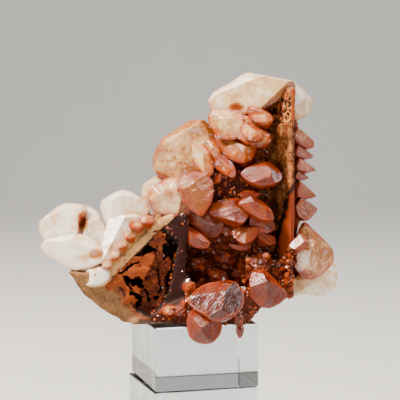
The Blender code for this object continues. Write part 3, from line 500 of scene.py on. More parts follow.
LEFT = [
    plate([(38.4, 227), (42, 221), (48, 215), (58, 206.5), (66, 204), (75, 203.5), (86, 205.5),
          (86, 213), (80, 224), (78, 236), (62, 240), (45, 242), (40.5, 235)], 0, (-22, 26),
          (66, 220, 3.8), [(128, 5), (85, 4), (-80, 14), (-150, 5), (10, 5)], root=12, ribs=20,
          tone=0.03, rim=0.3),
    plate([(84, 205), (92, 207.5), (98, 212), (102, 220), (108, 228), (111, 240), (104, 254), (92, 250),
          (82, 240), (79, 230), (84, 218)], 0, (-8, 28), (95, 226, 3.6), [(60, 6), (15, 6), (-60, 10),
          (180, 3)], root=12, ribs=40, tone=0.05, rim=0.4),
    plate([(40.6, 245), (47, 239), (55, 234.8), (66, 232.5), (76, 232.3), (94, 239.5), (103, 250),
          (104, 262), (90, 268), (76, 271), (66, 267.5), (56, 261.5), (46, 255.5), (41.5, 251.5)], -6,
          (-16, 30), (76, 247, 3.8), [(110, 5), (55, 6), (-60, 12), (-120, 7), (180, 5)], root=12,
          ribs=14, tone=0.01, rim=0.3),
    plate([(99.8, 207), (103, 201), (108, 196), (115, 192.5), (122, 190.4), (131, 191.6), (138, 198),
          (147, 201), (151, 209), (144, 220), (134, 229), (124, 238), (114, 235), (108, 227),
          (103, 217)], 0, (-8, 28), (124, 208, 4), [(120, 4.4), (70, 4), (-45, 14), (-150, 6),
          (-100, 9)], root=13, ribs=18, tone=0.03, rim=0.25),
    plate([(109, 224), (120, 222), (133, 216), (147, 211), (153, 216), (140, 230), (126, 244),
          (113, 257), (103, 265), (99, 252)], -5, (-6, 40), (124, 232, 2.8), [(65, 5), (-45, 4),
          (-150, 9)], root=10, ribs=-45, tone=0.07, rim=0.4),
]

BACK = [
    scale((255, 112, 14), 12, 9, 160, 35, root=12),
    scale((285, 128, 12), 8, 8, 125, 25, root=10),
    scale((228, 142, 16), 10, 9, 195, 30, root=12),
    scale((266, 152, 20), 12, 10, 168, 20, root=14),
    scale((240, 180, 22), 12, 10, 188, 15, root=14),
    scale((206, 186, 18), 10, 9, 205, 25, root=12),
    scale((284, 186, 17), 9, 9, 140, 15, root=12),
    scale((272, 214, 21), 11, 9, 160, 5, root=14),
    scale((176, 212, 15), 10, 8, 205, 25, root=12),
    scale((222, 222, 24), 12, 10, 185, 5, root=14),
    scale((255, 248, 22), 12, 10, 170, -5, root=14),
    scale((288, 236, 14), 8, 8, 130, 0, root=12),
    scale((142, 236, 14), 10, 9, 200, 25, root=12),
    scale((186, 248, 21), 11, 10, 190, 5, root=14),
    scale((108, 252, 10), 9, 8, 212, 20, root=12),
    scale((150, 274, 18), 11, 9, 195, -5, root=14),
    scale((212, 272, 22), 11, 9, 182, -10, root=14),
    scale((244, 282, 16), 9, 8, 165, -15, root=12),
    scale((114, 288, 10), 8, 7, 215, -5, root=11),
    scale((180, 294, 18), 10, 8, 190, -20, root=12),
    scale((284, 274, 10), 8, 7, 140, -15, root=11),
    scale((291, 132, 13), 8, 7, 110, 25, roll=12, root=11, tone=0.3),
    scale((292, 156, 11), 8, 7, 96, 12, roll=-18, root=11, tone=0.3),
    scale((290, 172, 17), 7, 7, 120, 10, roll=30, root=11),
    scale((293, 184, 9), 7, 8, 92, 5, roll=10, root=11, tone=0.35),
    scale((292, 206, 12), 8, 7, 104, 8, roll=-12, root=11, tone=0.3),
    scale((293, 226, 8), 7, 7, 98, 0, roll=25, root=11, tone=0.35),
    scale((292, 246, 12), 8, 7, 112, -8, roll=-10, root=11),
    scale((296, 268, 12), 7, 7, 106, -15, roll=15, root=11),
    scale((96, 286, 3), 8, 7, -105, -15, root=11),
    scale((113, 300, 4), 7, 6, -110, -30, root=10),
    scale((84, 268, 5), 8, 7, -120, 0, root=11),
]

SMALL = [
    scale((258, 262, -11), 3.6, 2.6, 4, 30, roll=-20, root=7, tone=0.5, rim=1),
    scale((264, 257, -11), 2.4, 2, 20, 30, roll=-20, root=7, tone=0.5, rim=1),
    scale((198, 260, -8), 2.2, 1.8, 0, 40, root=7, tone=0.55, rim=1),
    scale((218, 274, -8), 4, 2.4, 6, 40, roll=-24, root=9, tone=0.5, rim=1),
    scale((208, 262, -4), 3, 2.4, 10, 40, root=7, tone=0.75, rim=1),
    scale((228, 258, -4), 3.4, 2.4, -10, 30, root=7, tone=0.75, rim=1),
    scale((240, 272, -5), 3, 2.4, 20, 30, root=7, tone=0.75, rim=1),
    scale((204, 284, -6), 3, 2.4, -10, 30, root=7, tone=0.7, rim=1),
    scale((189, 287, -16), 2.6, 2.4, 0, 30, root=6, tone=0.6, rim=1),
    scale((169, 310, -19), 2.8, 2.4, -10, 40, root=7, tone=0.36, rim=1),
    scale((180, 310, -19), 2.4, 2.2, 10, 30, root=6, tone=0.55, rim=1),
    scale((231, 285, -15), 2, 2, 20, 30, root=6, tone=0.55, rim=1),
    scale((239, 318, -19.5), 1.7, 3.2, 10, 10, root=6, tone=0.8, rim=1),
    scale((240, 330, -20), 1.5, 3.2, 10, 0, root=5, tone=0.8, rim=1),
    scale((96, 276, -13), 5.6, 4.2, -20, 34, roll=20, root=8, tone=0, rim=0.1),
    scale((80, 271, -9), 4.6, 3.2, -30, 34, roll=20, root=8, tone=0, rim=0.1),
    scale((89, 281, -12), 3.6, 2.4, -20, 24, roll=20, root=8, tone=0, rim=0.1),
    scale((136, 225, -14), 3, 2.4, -20, 50, root=6, tone=0.3, rim=1),
    scale((147, 220, -14), 3, 2.2, -10, 50, root=6, tone=0.3, rim=1),
    scale((129, 235, -14), 2.4, 2.1, -20, 50, root=6, tone=0.22, rim=0.7),
    scale((122, 244, -14), 2.2, 2, -20, 50, root=6, tone=0.18, rim=0.5),
    scale((114, 255, -14), 2.2, 1.9, -20, 50, root=6, tone=0.18, rim=0.5),
    scale((107, 264, -14), 2.2, 1.8, -20, 50, root=6, tone=0.18, rim=0.5),
]


# Materials

def linear(code):
    """An sRGB hex colour as linear red, green, blue and alpha."""
    parts = [int(code[i:i + 2], 16) / 255 for i in (1, 3, 5)]
    return [part / 12.92 if part <= 0.04045 else ((part + 0.055) / 1.055) ** 2.4 for part in parts] + [1.0]


def put(tree, kind, settings=None, links=None):
    """Adds a node, sets its values and links what comes in. A node stands for its first output."""
    made = tree.nodes.new(kind)
    for key, value in (settings or {}).items():
        if isinstance(key, str) and hasattr(made, key):
            setattr(made, key, value)
        else:
            made.inputs[key].default_value = value
    for key, source in (links or {}).items():
        tree.links.new(source.outputs[0] if hasattr(source, "outputs") else source, made.inputs[key])
    return made


def stops(ramp, places):
    """Sets the colours of a ramp."""
    elements = ramp.color_ramp.elements
    while len(elements) < len(places):
        elements.new(0.5)
    for element, (place, code) in zip(elements, places):
        element.position = place
        element.color = linear(code)
    return ramp


def new_material(name):
    made = bpy.data.materials.new(name)
    made.use_nodes = True
    tree = made.node_tree
    tree.nodes.clear()
    shader = put(tree, "ShaderNodeBsdfPrincipled")
    put(tree, "ShaderNodeOutputMaterial", links={"Surface": shader})
    return made, tree, shader


def calcite(name, glow, glow_radius, gloss, clear, growth_and_sheen, milky):
    """Cloudy calcite, grown in layers: milky light inside, rust along its rims, fine ribs on its faces, with lighter
    streaks along them that are partly painted highlight.
    """
    made, tree, shader = new_material(name)
    place = put(tree, "ShaderNodeTexCoord").outputs["Object"]
    cloud = put(tree, "ShaderNodeTexNoise", {"Scale": 140.0, "Detail": 3.0}, {"Vector": place})
    veil = put(tree, "ShaderNodeTexNoise", {"Scale": 420.0, "Detail": 3.0, "Roughness": 0.6}, {"Vector": place})
    fleck = put(tree, "ShaderNodeTexNoise", {"Scale": 1200.0, "Detail": 3.0, "Roughness": 0.65}, {"Vector": place})
    rim = put(tree, "ShaderNodeAttribute", {"attribute_name": "rim"}).outputs["Fac"]
    deep = put(tree, "ShaderNodeAttribute", {"attribute_name": "deep"}).outputs["Fac"]
    from_edge = put(tree, "ShaderNodeAttribute", {"attribute_name": "from_edge"}).outputs["Fac"]
    tone = put(tree, "ShaderNodeAttribute", {"attribute_name": "tone"}).outputs["Fac"]
    ribbed = put(tree, "ShaderNodeAttribute", {"attribute_name": "ribbed"}).outputs["Fac"]
    # The stain fades over about 3 mm from the rim, in a cloudy way.
    drift = put(tree, "ShaderNodeMath", {"operation": "MULTIPLY_ADD", 1: 4.0, 2: -2.0}, {0: cloud})
    reach = put(tree, "ShaderNodeMath", {"operation": "ADD"}, {0: from_edge, 1: drift})
    fade = put(tree, "ShaderNodeMapRange", {
        "interpolation_type": "SMOOTHSTEP", "From Min": 3.4, "From Max": 0.0, "To Max": 0.85}, {"Value": reach})
    stain = put(tree, "ShaderNodeMath", {"operation": "MULTIPLY"}, {0: fade, 1: rim})
    shades = put(tree, "ShaderNodeMath", {"operation": "MULTIPLY_ADD", 1: 0.55, 2: -0.275}, {0: cloud})
    veils = put(tree, "ShaderNodeMath", {"operation": "MULTIPLY_ADD", 1: 0.5, 2: -0.25}, {0: veil})
    tone = put(tree, "ShaderNodeMath", {"operation": "ADD"}, {0: tone, 1: shades})
    tone = put(tree, "ShaderNodeMath", {"operation": "ADD", "use_clamp": True}, {0: tone, 1: veils})
    skin = stops(put(tree, "ShaderNodeValToRGB", links={"Fac": tone}), [
        (0.0, "#F8EEDE"), (0.2, "#E2B982"), (0.4, "#A8601F"), (0.6, "#843404"), (0.8, "#6E1E00"), (1.0, "#400D00"),
    ])
    body = stops(put(tree, "ShaderNodeValToRGB", links={"Fac": tone}), [
        (0.0, "#DC9438"), (0.25, "#C65806"), (0.5, "#A63600"), (0.75, "#801F00"), (1.0, "#480C00"),
    ])
    under = put(tree, "ShaderNodeMapRange", {
        "interpolation_type": "SMOOTHSTEP", "From Min": 0.1, "From Max": 1.6}, {"Value": deep})
    under = put(tree, "ShaderNodeMath", {"operation": "MULTIPLY"}, {0: under, 1: rim})
    under = put(tree, "ShaderNodeMath", {"operation": "MAXIMUM"}, {0: under, 1: stain})
    colour = put(tree, "ShaderNodeMix", {"data_type": "RGBA"}, {0: under, 6: skin, 7: body}).outputs[2]
    # A thin line of rust just inside the rim.
    line = put(tree, "ShaderNodeMapRange", {
        "interpolation_type": "SMOOTHSTEP", "From Min": 1.1, "From Max": 0.4, "To Max": 0.9}, {"Value": from_edge})
    line = put(tree, "ShaderNodeMath", {"operation": "MULTIPLY"}, {0: line, 1: rim})
    colour = put(tree, "ShaderNodeMix", {"data_type": "RGBA", 7: linear("#8E3002")}, {
        0: line, 6: colour}).outputs[2]
    # Growth lines about 0.7 mm apart, broken up into patches and painted a lighter tan: partly growth bands, partly
    # painted highlight streaks.
    grain = put(tree, "ShaderNodeUVMap", {"uv_map": "grain"})
    drawn = put(tree, "ShaderNodeVectorMath", {"operation": "MULTIPLY", 1: (1.5, 0.10, 1.0)}, {0: grain})
    ribs = put(tree, "ShaderNodeTexNoise", {"Scale": 1.0, "Detail": 2.0, "Roughness": 0.6}, {"Vector": drawn})
    patch = put(tree, "ShaderNodeMapRange", {
        "interpolation_type": "SMOOTHSTEP", "From Min": 0.44, "From Max": 0.60}, {"Value": veil})
    streak = put(tree, "ShaderNodeMapRange", {
        "interpolation_type": "SMOOTHSTEP", "From Min": 0.54, "From Max": 0.66, "To Max": 0.35 * growth_and_sheen}, {"Value": ribs})
    streak = put(tree, "ShaderNodeMath", {"operation": "MULTIPLY"}, {0: streak, 1: ribbed})
    streak = put(tree, "ShaderNodeMath", {"operation": "MULTIPLY"}, {0: streak, 1: patch})
    colour = put(tree, "ShaderNodeMix", {"data_type": "RGBA", 7: linear("#D49A66")}, {
        0: streak, 6: colour}).outputs[2]
    # Milky veils in the clear parts.
    milk = put(tree, "ShaderNodeMapRange", {
        "interpolation_type": "SMOOTHSTEP", "From Min": 0.54, "From Max": 0.68, "To Max": milky}, {"Value": veil})
    colour = put(tree, "ShaderNodeMix", {"data_type": "RGBA", 7: linear("#F0E6DC")}, {
        0: milk, 6: colour}).outputs[2]
    tree.links.new(colour, shader.inputs["Base Color"])
    rough = put(tree, "ShaderNodeMath", {"operation": "MULTIPLY_ADD", 1: 0.18, 2: gloss}, {0: fleck})
    tree.links.new(rough.outputs[0], shader.inputs["Roughness"])
    shader.inputs["IOR"].default_value = 1.6
    shader.inputs["Specular IOR Level"].default_value = 0.36
    shader.inputs["Subsurface Weight"].default_value = glow
    shader.inputs["Subsurface Radius"].default_value = glow_radius
    shader.inputs["Subsurface Scale"].default_value = 0.0012
    shader.inputs["Transmission Weight"].default_value = clear
    shader.inputs["Coat Weight"].default_value = 0.15
    shader.inputs["Coat Roughness"].default_value = 0.09
    height = put(tree, "ShaderNodeMath", {"operation": "MULTIPLY"}, {0: ribs, 1: ribbed})
    ribs_up = put(tree, "ShaderNodeBump", {"Distance": 0.0009, "Strength": growth_and_sheen}, {"Height": height})
    veil_up = put(tree, "ShaderNodeBump", {"Distance": 0.0004, "Strength": 0.35}, {
        "Height": veil, "Normal": ribs_up})
    fleck_up = put(tree, "ShaderNodeBump", {"Distance": 0.00015, "Strength": 0.6}, {
        "Height": fleck, "Normal": veil_up})
    tree.links.new(fleck_up.outputs[0], shader.inputs["Normal"])
    return made


def stained_rock():
    """Iron-stained rock, broken and weathered: earthy, matt and grainy, coloured by its parts."""
    made, tree, shader = new_material("iron_stained_rock")
    wash = put(tree, "ShaderNodeAttribute", {"attribute_name": "wash"}).outputs["Color"]
    place = put(tree, "ShaderNodeTexCoord").outputs["Object"]
    cloud = put(tree, "ShaderNodeTexNoise", {"Scale": 200.0, "Detail": 5.0, "Roughness": 0.65}, {"Vector": place})
    grit = put(tree, "ShaderNodeTexNoise", {"Scale": 1100.0, "Detail": 4.0, "Roughness": 0.7}, {"Vector": place})
    # The smooth walls keep little of the grain.
    uneven = put(tree, "ShaderNodeAttribute", {"attribute_name": "uneven"}).outputs["Fac"]
    coarse = put(tree, "ShaderNodeMath", {"operation": "MULTIPLY_ADD", 1: 2.0, 2: 0.12, "use_clamp": True}, {0: uneven})
    strong = put(tree, "ShaderNodeMath", {"operation": "MULTIPLY", 1: 0.7}, {0: coarse})
    weak = put(tree, "ShaderNodeMath", {"operation": "MULTIPLY", 1: 0.4}, {0: coarse})
    shadow = put(tree, "ShaderNodeMapRange", {"From Min": 0.38, "From Max": 0.62}, {
        "Value": cloud, "To Max": strong})
    colour = put(tree, "ShaderNodeMix", {
        "data_type": "RGBA", "blend_type": "MULTIPLY", 7: linear("#5A3322")}, {0: shadow, 6: wash}).outputs[2]
    bright = put(tree, "ShaderNodeMapRange", {"From Min": 0.55, "From Max": 0.75}, {"Value": grit, "To Max": weak})
    colour = put(tree, "ShaderNodeMix", {
        "data_type": "RGBA", "blend_type": "SCREEN", 7: linear("#B5774A")}, {0: bright, 6: colour}).outputs[2]
    pits = put(tree, "ShaderNodeMapRange", {"From Min": 0.48, "From Max": 0.30}, {"Value": grit, "To Max": strong})
    colour = put(tree, "ShaderNodeMix", {"data_type": "RGBA", 7: linear("#1E0A04")}, {
        0: pits, 6: colour}).outputs[2]
    tree.links.new(colour, shader.inputs["Base Color"])
    shader.inputs["Roughness"].default_value = 0.6
    shader.inputs["Specular IOR Level"].default_value = 0.2
    swells = put(tree, "ShaderNodeBump", {"Distance": 0.0009}, {"Height": cloud, "Strength": strong})
    grains = put(tree, "ShaderNodeBump", {"Distance": 0.0005}, {
        "Height": grit, "Normal": swells, "Strength": strong})
    tree.links.new(grains.outputs[0], shader.inputs["Normal"])
    return made


def fine_druse():
    """Fine calcite druse, grown in a hollow: small glassy points from rust to amber."""
    made, tree, shader = new_material("fine_druse")
    tone = put(tree, "ShaderNodeAttribute", {"attribute_name": "tone"}).outputs["Fac"]
    colour = stops(put(tree, "ShaderNodeValToRGB", links={"Fac": tone}), [
        (0.0, "#46140A"), (0.4, "#82300F"), (0.7, "#B2501E"), (0.9, "#D27C40"), (1.0, "#E8A468"),
    ])
    tree.links.new(colour.outputs[0], shader.inputs["Base Color"])
    shader.inputs["Roughness"].default_value = 0.22
    shader.inputs["IOR"].default_value = 1.6
    shader.inputs["Subsurface Weight"].default_value = 0.2
    shader.inputs["Subsurface Radius"].default_value = (1.0, 0.35, 0.15)
    shader.inputs["Subsurface Scale"].default_value = 0.0006
    return made


def cast_acrylic():
    """Cast acrylic, sawn and polished: clear, with a faint cool cast and saw marks on its sides."""
    made, tree, shader = new_material("cast_acrylic")
    shader.inputs["Base Color"].default_value = linear("#D3DEE0")
    shader.inputs["Transmission Weight"].default_value = 1.0
    shader.inputs["IOR"].default_value = 1.49
    place = put(tree, "ShaderNodeTexCoord").outputs["Object"]
    stretched = put(tree, "ShaderNodeVectorMath", {"operation": "MULTIPLY", 1: (260.0, 260.0, 18.0)}, {0: place})
    marks = put(tree, "ShaderNodeTexNoise", {"Scale": 1.0, "Detail": 2.0}, {"Vector": stretched})
    rough = put(tree, "ShaderNodeMapRange", {
        "From Min": 0.45, "From Max": 0.7, "To Min": 0.02, "To Max": 0.16}, {"Value": marks})
    tree.links.new(rough.outputs[0], shader.inputs["Roughness"])
    wave = put(tree, "ShaderNodeBump", {"Distance": 0.0002, "Strength": 0.35}, {"Height": marks})
    tree.links.new(wave.outputs[0], shader.inputs["Normal"])
    return made




# The matrix

# Zones of the matrix, as they are seen in the picture.
BAND = [(170, 217), (152, 232), (128, 257), (103, 283)]
BAND_WIDTH = 3.4
STRIP = [(290, 184), (299, 180), (300, 236), (290, 244), (283, 258), (276, 252), (279, 232), (284, 212), (286, 196)]
STRIP_EDGE = [(297, 183), (290, 190), (286, 198), (284, 212), (279, 228), (277, 240), (275, 254)]
THIN_WALL = [(291, 90), (297, 86), (299, 100), (296, 118), (292, 126), (290, 112)]
MOULD = [(164, 228), (113, 279), (137, 312), (150, 318), (167, 300), (179, 240)]
SMOOTH_WALL = [(166, 220), (188, 214), (190, 250), (186, 296), (172, 318), (160, 318), (170, 290), (178, 240)]
OUTER_WALL = [(56, 266), (84, 270), (108, 284), (140, 322), (131, 334), (96, 312), (70, 292)]
BANK = [(98, 288), (94, 262), (118, 238), (140, 214), (160, 206), (174, 214), (152, 232), (128, 257), (104, 284)]
CHIPS = [(126, 318), (160, 322), (194, 324), (194, 336), (130, 336)]
LACE = [(272, 102), (290, 96), (291, 122), (272, 126)]
V_HOLLOW = [(188, 240), (214, 236), (262, 246), (272, 262), (262, 300), (238, 290), (200, 286), (178, 316), (172, 300)]
RIGHT_HOLLOW = [(272, 252), (297, 254), (297, 288), (280, 284), (270, 270)]


def inside(outline, column, row):
    """Whether a picture place lies inside an outline."""
    found = False
    for (c1, r1), (c2, r2) in zip(outline, outline[1:] + outline[:1]):
        if (r1 > row) != (r2 > row) and column < (c2 - c1) * (row - r1) / (r2 - r1) + c1:
            found = not found
    return found


def off_line(line, column, row):
    """How far a picture place is from a line of points."""
    place = Vector((column, row))
    best = 1e9
    for start, end in zip(line, line[1:]):
        a, b = Vector(start), Vector(end)
        along = max(0.0, min(1.0, (place - a).dot(b - a) / (b - a).length_squared))
        best = min(best, (place - a - (b - a) * along).length)
    return best


def rock_wash(point, normal):
    """The colour of the rock at a point, how rough it is and how thickly it is sown there."""
    column, row = seen(point)
    wobble = noise.noise(point / 1.6) * 2.0
    if point.y > 4 or normal.y > 0.5:
        return "#A06C40", 0.5, 0.0
    if off_line(BAND, column, row) < BAND_WIDTH + wobble * 0.4 and point.y < -11:
        return "#E2AC6C", 0.2, 0.05
    if inside(BANK, column, row):
        return "#CE9050", 0.5, 0.0
    if inside(THIN_WALL, column, row) and normal.x < 0.8:
        return "#A44C18", 0.1, 0.0
    if column > 268 and off_line(STRIP_EDGE, column, row) < 2.0 + wobble and point.y < 6:
        return "#120503", 0.3, 0.05
    if inside(STRIP, column, row + wobble):
        return "#883208", 0.06, 0.0
    # Painted shadow: the lace is painted near black in patches for the shade in its holes; the orange is its own
    # colour.
    if inside(LACE, column, row) and point.y < 3:
        return "#D0803C" if noise.noise(point / 1.3) > 0.0 else "#0C0302", 1.0, 0.3
    # Painted shadow: the hollow of the mould is coloured near black for the deep shade inside it.
    if inside(MOULD, column, row):
        return "#0C0301", 0.9, 0.12
    if inside(SMOOTH_WALL, column, row) and point.y < -6:
        return "#300B02", 0.10, 0.03
    if inside(OUTER_WALL, column, row):
        return "#96693F", 0.35, 0.0
    if inside(CHIPS, column, row):
        return "#7E6450", 0.6, 0.0
    # Partly painted light: the V hollow's own rust red is made lighter to stand against the shade that it lies in.
    if inside(V_HOLLOW, column, row):
        return "#8A3412", 1.0, 1.0
    if inside(RIGHT_HOLLOW, column, row):
        return "#5A1C06", 1.0, 0.9
    if column < 150 and row > 262:
        return "#98522A", 0.4, 0.12
    if column > 252 and row < 250 and normal.x < 0.5:
        streaked = noise.noise(Vector((point.x, point.y, point.z / 1.8)) / 1.1)
        return ("#96501F" if streaked > 0.1 else "#C07C42" if streaked > -0.25 else "#6C2E0E"), 0.8, 0.04
    if column > 288 and row < 250:
        mottled = noise.noise(point / 2.2) + 0.6 * noise.noise(point / 0.9)
        return ("#743C1A" if mottled > 0.0 else "#4E240E"), 0.8, 0.03
    if row < 240:
        return "#561A06", 0.7, 0.5
    return "#6A2A0E", 0.7, 0.35


def copy_of(node, voxel):
    """A node's solid as one even skin of small faces, in millimetres."""
    bm = bmesh.new()
    bm.from_mesh(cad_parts[node].data)
    bmesh.ops.remove_doubles(bm, verts=bm.verts, dist=1e-6)
    source = piece(node + "_source", bm)
    skin = source.modifiers.new("skin", "REMESH")
    skin.mode = "VOXEL"
    skin.voxel_size = voxel * MM
    graph = bpy.context.evaluated_depsgraph_get()
    bm = bmesh.new()
    bm.from_mesh(source.evaluated_get(graph).to_mesh())
    bpy.data.objects.remove(source)
    bmesh.ops.transform(bm, matrix=Matrix.Scale(1 / MM, 4), verts=bm.verts)
    return bm


def rock():
    """The matrix: its solid's skin, made rough and coloured by its parts."""
    bm = copy_of("matrix", 0.62)
    bmesh.ops.smooth_vert(bm, verts=bm.verts, factor=0.5, use_axis_x=True, use_axis_y=True, use_axis_z=True)
    bm.normal_update()
    wash = bm.verts.layers.float_color.new("wash")
    sown = bm.verts.layers.float.new("sown")
    uneven = bm.verts.layers.float.new("uneven")
    moved = []
    for vertex in bm.verts:
        code, rough, thick = rock_wash(vertex.co, vertex.normal)
        swell = noise.noise(vertex.co / 3.2) + 0.6 * noise.noise(vertex.co / 1.3) - 0.75
        vertex[wash] = linear(code)
        vertex[sown] = thick
        vertex[uneven] = rough
        moved.append(vertex.co + vertex.normal * swell * 0.55 * (0.25 + rough))
    for vertex, place in zip(bm.verts, moved):
        if vertex.co.z > 2 * BLOCK_HEIGHT + 1.2:
            vertex.co = place
    for _ in range(2):
        bmesh.ops.smooth_vert(
            bm, verts=[vertex for vertex in bm.verts if vertex[uneven] < 0.2], factor=0.5,
            use_axis_x=True, use_axis_y=True, use_axis_z=True)
    for face in bm.faces:
        face.smooth = True
    bmesh.ops.transform(bm, matrix=Matrix.Scale(MM, 4), verts=bm.verts)
    made = piece("rock", bm)
    made.data.materials.append(stained_rock())
    return made


def druse_seed(name, spin, cap, tone):
    """One small blunt crystal with three flat faces, about 1 mm across."""
    bm = bmesh.new()
    bmesh.ops.create_cone(
        bm, cap_ends=True, segments=6, radius1=0.34, radius2=0.5, depth=0.7)
    for vertex in bm.verts:
        vertex.co.z += 0.2
    for third in range(3):
        angle = math.radians(spin + 120 * third)
        normal = Vector((math.sin(cap) * math.cos(angle), math.sin(cap) * math.sin(angle), math.cos(cap)))
        cut_face(bm, Vector((0, 0, 0.55)), normal)
    layer = bm.verts.layers.float.new("tone")
    for vertex in bm.verts:
        vertex[layer] = tone + vertex.co.z * 0.25
    bmesh.ops.transform(bm, matrix=Matrix.Scale(MM, 4), verts=bm.verts)
    return piece(name, bm)


def sow(name, ground, seeds, spacing, least, most, seed):
    """Small crystals grown close together over the ground where it says sown."""
    bag = bpy.data.collections.new(name + "_seeds")
    for each in seeds:
        bpy.context.scene.collection.objects.unlink(each)
        bag.objects.link(each)
    bed = bpy.data.objects.new(name, ground.data.copy())
    bpy.context.scene.collection.objects.link(bed)
    tree = bpy.data.node_groups.new(name, "GeometryNodeTree")
    tree.interface.new_socket("Geometry", in_out="INPUT", socket_type="NodeSocketGeometry")
    tree.interface.new_socket("Geometry", in_out="OUTPUT", socket_type="NodeSocketGeometry")
    start = tree.nodes.new("NodeGroupInput")
    end = tree.nodes.new("NodeGroupOutput")
    sown = put(tree, "GeometryNodeInputNamedAttribute", {"data_type": "FLOAT", "Name": "sown"})
    # The large crystals grow only where the fine ones stand closest.
    dense = put(tree, "ShaderNodeMapRange", {
        "From Min": 0.7 if spacing > 2 else 0.0, "From Max": 1.0}, {"Value": sown.outputs["Attribute"]})
    points = put(tree, "GeometryNodeDistributePointsOnFaces", {
        "distribute_method": "POISSON", "Distance Min": spacing * MM, "Density Max": 4e6, "Seed": seed,
    }, {"Mesh": start.outputs[0], "Density Factor": dense})
    lean = put(tree, "FunctionNodeRandomValue", {"data_type": "FLOAT_VECTOR", "Seed": seed + 1})
    lean.inputs[0].default_value = (-0.6, -0.6, 0.0)
    lean.inputs[1].default_value = (0.6, 0.6, 6.28)
    turned = put(tree, "FunctionNodeRotateRotation", {"rotation_space": "LOCAL"}, {
        "Rotation": points.outputs["Rotation"], "Rotate By": lean.outputs[0]})
    size = put(tree, "FunctionNodeRandomValue", {"data_type": "FLOAT", "Seed": seed + 2})
    size.inputs[2].default_value = least
    size.inputs[3].default_value = most
    pick = put(tree, "GeometryNodeCollectionInfo", {"Separate Children": True, "Reset Children": True})
    pick.inputs["Collection"].default_value = bag
    spread = put(tree, "GeometryNodeInstanceOnPoints", {"Pick Instance": True}, {
        "Points": points.outputs["Points"], "Instance": pick.outputs[0],
        "Rotation": turned.outputs[0], "Scale": size.outputs[1]})
    real = put(tree, "GeometryNodeRealizeInstances", links={0: spread.outputs[0]})
    tree.links.new(real.outputs[0], end.inputs[0])
    grow = bed.modifiers.new("sow", "NODES")
    grow.node_group = tree
    graph = bpy.context.evaluated_depsgraph_get()
    mesh = bpy.data.meshes.new_from_object(bed.evaluated_get(graph))
    bed.modifiers.clear()
    bed.data = mesh
    mesh.materials.clear()
    for each in seeds:
        bpy.data.objects.remove(each)
    bpy.data.collections.remove(bag)
    return bed


# The crust in the hollow mould

CRUST_SHEETS = [
    ([(104, 284), (113, 274), (124, 263), (134, 257), (146, 255), (152, 252), (156, 257), (150, 268),
      (144, 280), (140, 292), (135, 306), (131, 309), (118, 297)], -13.2, 0.30),
    ([(150, 232), (157, 229), (165, 233), (166, 242), (161, 246), (164, 254), (161, 262), (154, 268),
      (149, 276), (143, 278), (147, 268), (157, 256), (155, 247), (149, 246)], -12.6, 0.10),
    ([(146, 278), (154, 268), (162, 262), (169, 256), (172, 262), (165, 278), (166, 300), (158, 312),
      (150, 319), (140, 316), (135, 310), (142, 300), (139, 288)], -11.2, -0.10),
]
CRUST_GAPS = [
    ([(121, 273), (131, 265), (138, 262)], 1.5), ([(126, 279), (133, 284), (138, 279), (141, 286)], 3.0),
    ([(132, 292), (140, 298), (137, 306)], 2.6), ([(128, 285), (136, 294)], 1.6),
    ([(146, 290), (150, 300)], 1.6), ([(158, 270), (161, 290), (155, 300)], 1.2),
]
CRUST_CELL = 1.1
CRUST_THICKNESS = 0.5


def crust():
    """The broken, lacy sheets that hang across the mould, one behind another."""
    bm = bmesh.new()
    for outline, depth, _ in CRUST_SHEETS:
        left, right = min(place[0] for place in outline) - 1, max(place[0] for place in outline) + 1
        top, foot = min(place[1] for place in outline) - 1, max(place[1] for place in outline) + 1
        across, down = int((right - left) / CRUST_CELL), int((foot - top) / CRUST_CELL)
        made = bmesh.ops.create_grid(bm, x_segments=across, y_segments=down, size=0.5)["verts"]
        for vertex in made:
            column = left + (vertex.co.x + 0.5) * (right - left)
            row = top + (vertex.co.y + 0.5) * (foot - top)
            sway = noise.noise(Vector((column / 14, row / 14, depth))) * 1.6
            sway += noise.noise(Vector((column / 4, row / 4, 8.0))) * (0.15 if depth < -13 else 0.5)
            vertex.co = sight(column, row, depth + sway)
        away = []
        for face in {face for vertex in made for face in vertex.link_faces}:
            column, row = seen(face.calc_center_median())
            lace = noise.noise(Vector((column / 3.4, row / 3.4, 1.0 + depth)))
            ragged = Vector((column, row)) + Vector((lace, noise.noise(Vector((column, row, 40.0)) / 3.0))) * 2.2
            open_gap = any(off_line(line, column, row) < wide + lace * 2.2 for line, wide in CRUST_GAPS)
            if open_gap or lace < -0.62 or not inside(outline, *ragged):
                away.append(face)
        bmesh.ops.delete(bm, geom=away, context="FACES")
    for item in bmesh.ops.extrude_face_region(bm, geom=bm.faces[:])["geom"]:
        if isinstance(item, bmesh.types.BMVert):
            item.co -= FORWARD * CRUST_THICKNESS
    bmesh.ops.recalc_face_normals(bm, faces=bm.faces)
    wash = bm.verts.layers.float_color.new("wash")
    sown = bm.verts.layers.float.new("sown")
    uneven = bm.verts.layers.float.new("uneven")
    for vertex in bm.verts:
        column, row = seen(vertex.co)
        warmth = next((warm for outline, depth, warm in CRUST_SHEETS if inside(outline, column, row)), 0.0)
        vertex[uneven] = 0.08 if warmth > 0.2 else 0.5
        bright = noise.noise(Vector((column / 9, row / 9, 5.0))) * 0.5
        bright += warmth
        vertex[wash] = linear("#98420E" if bright > 0.0 else "#742806" if bright > -0.3 else "#5A2008")
        vertex[sown] = 0.02 if bright > 0.0 else 0.5
    for face in bm.faces:
        face.smooth = True
    bmesh.ops.transform(bm, matrix=Matrix.Scale(MM, 4), verts=bm.verts)
    made = piece("mould_crust", bm)
    made.data.materials.append(stained_rock())
    return made


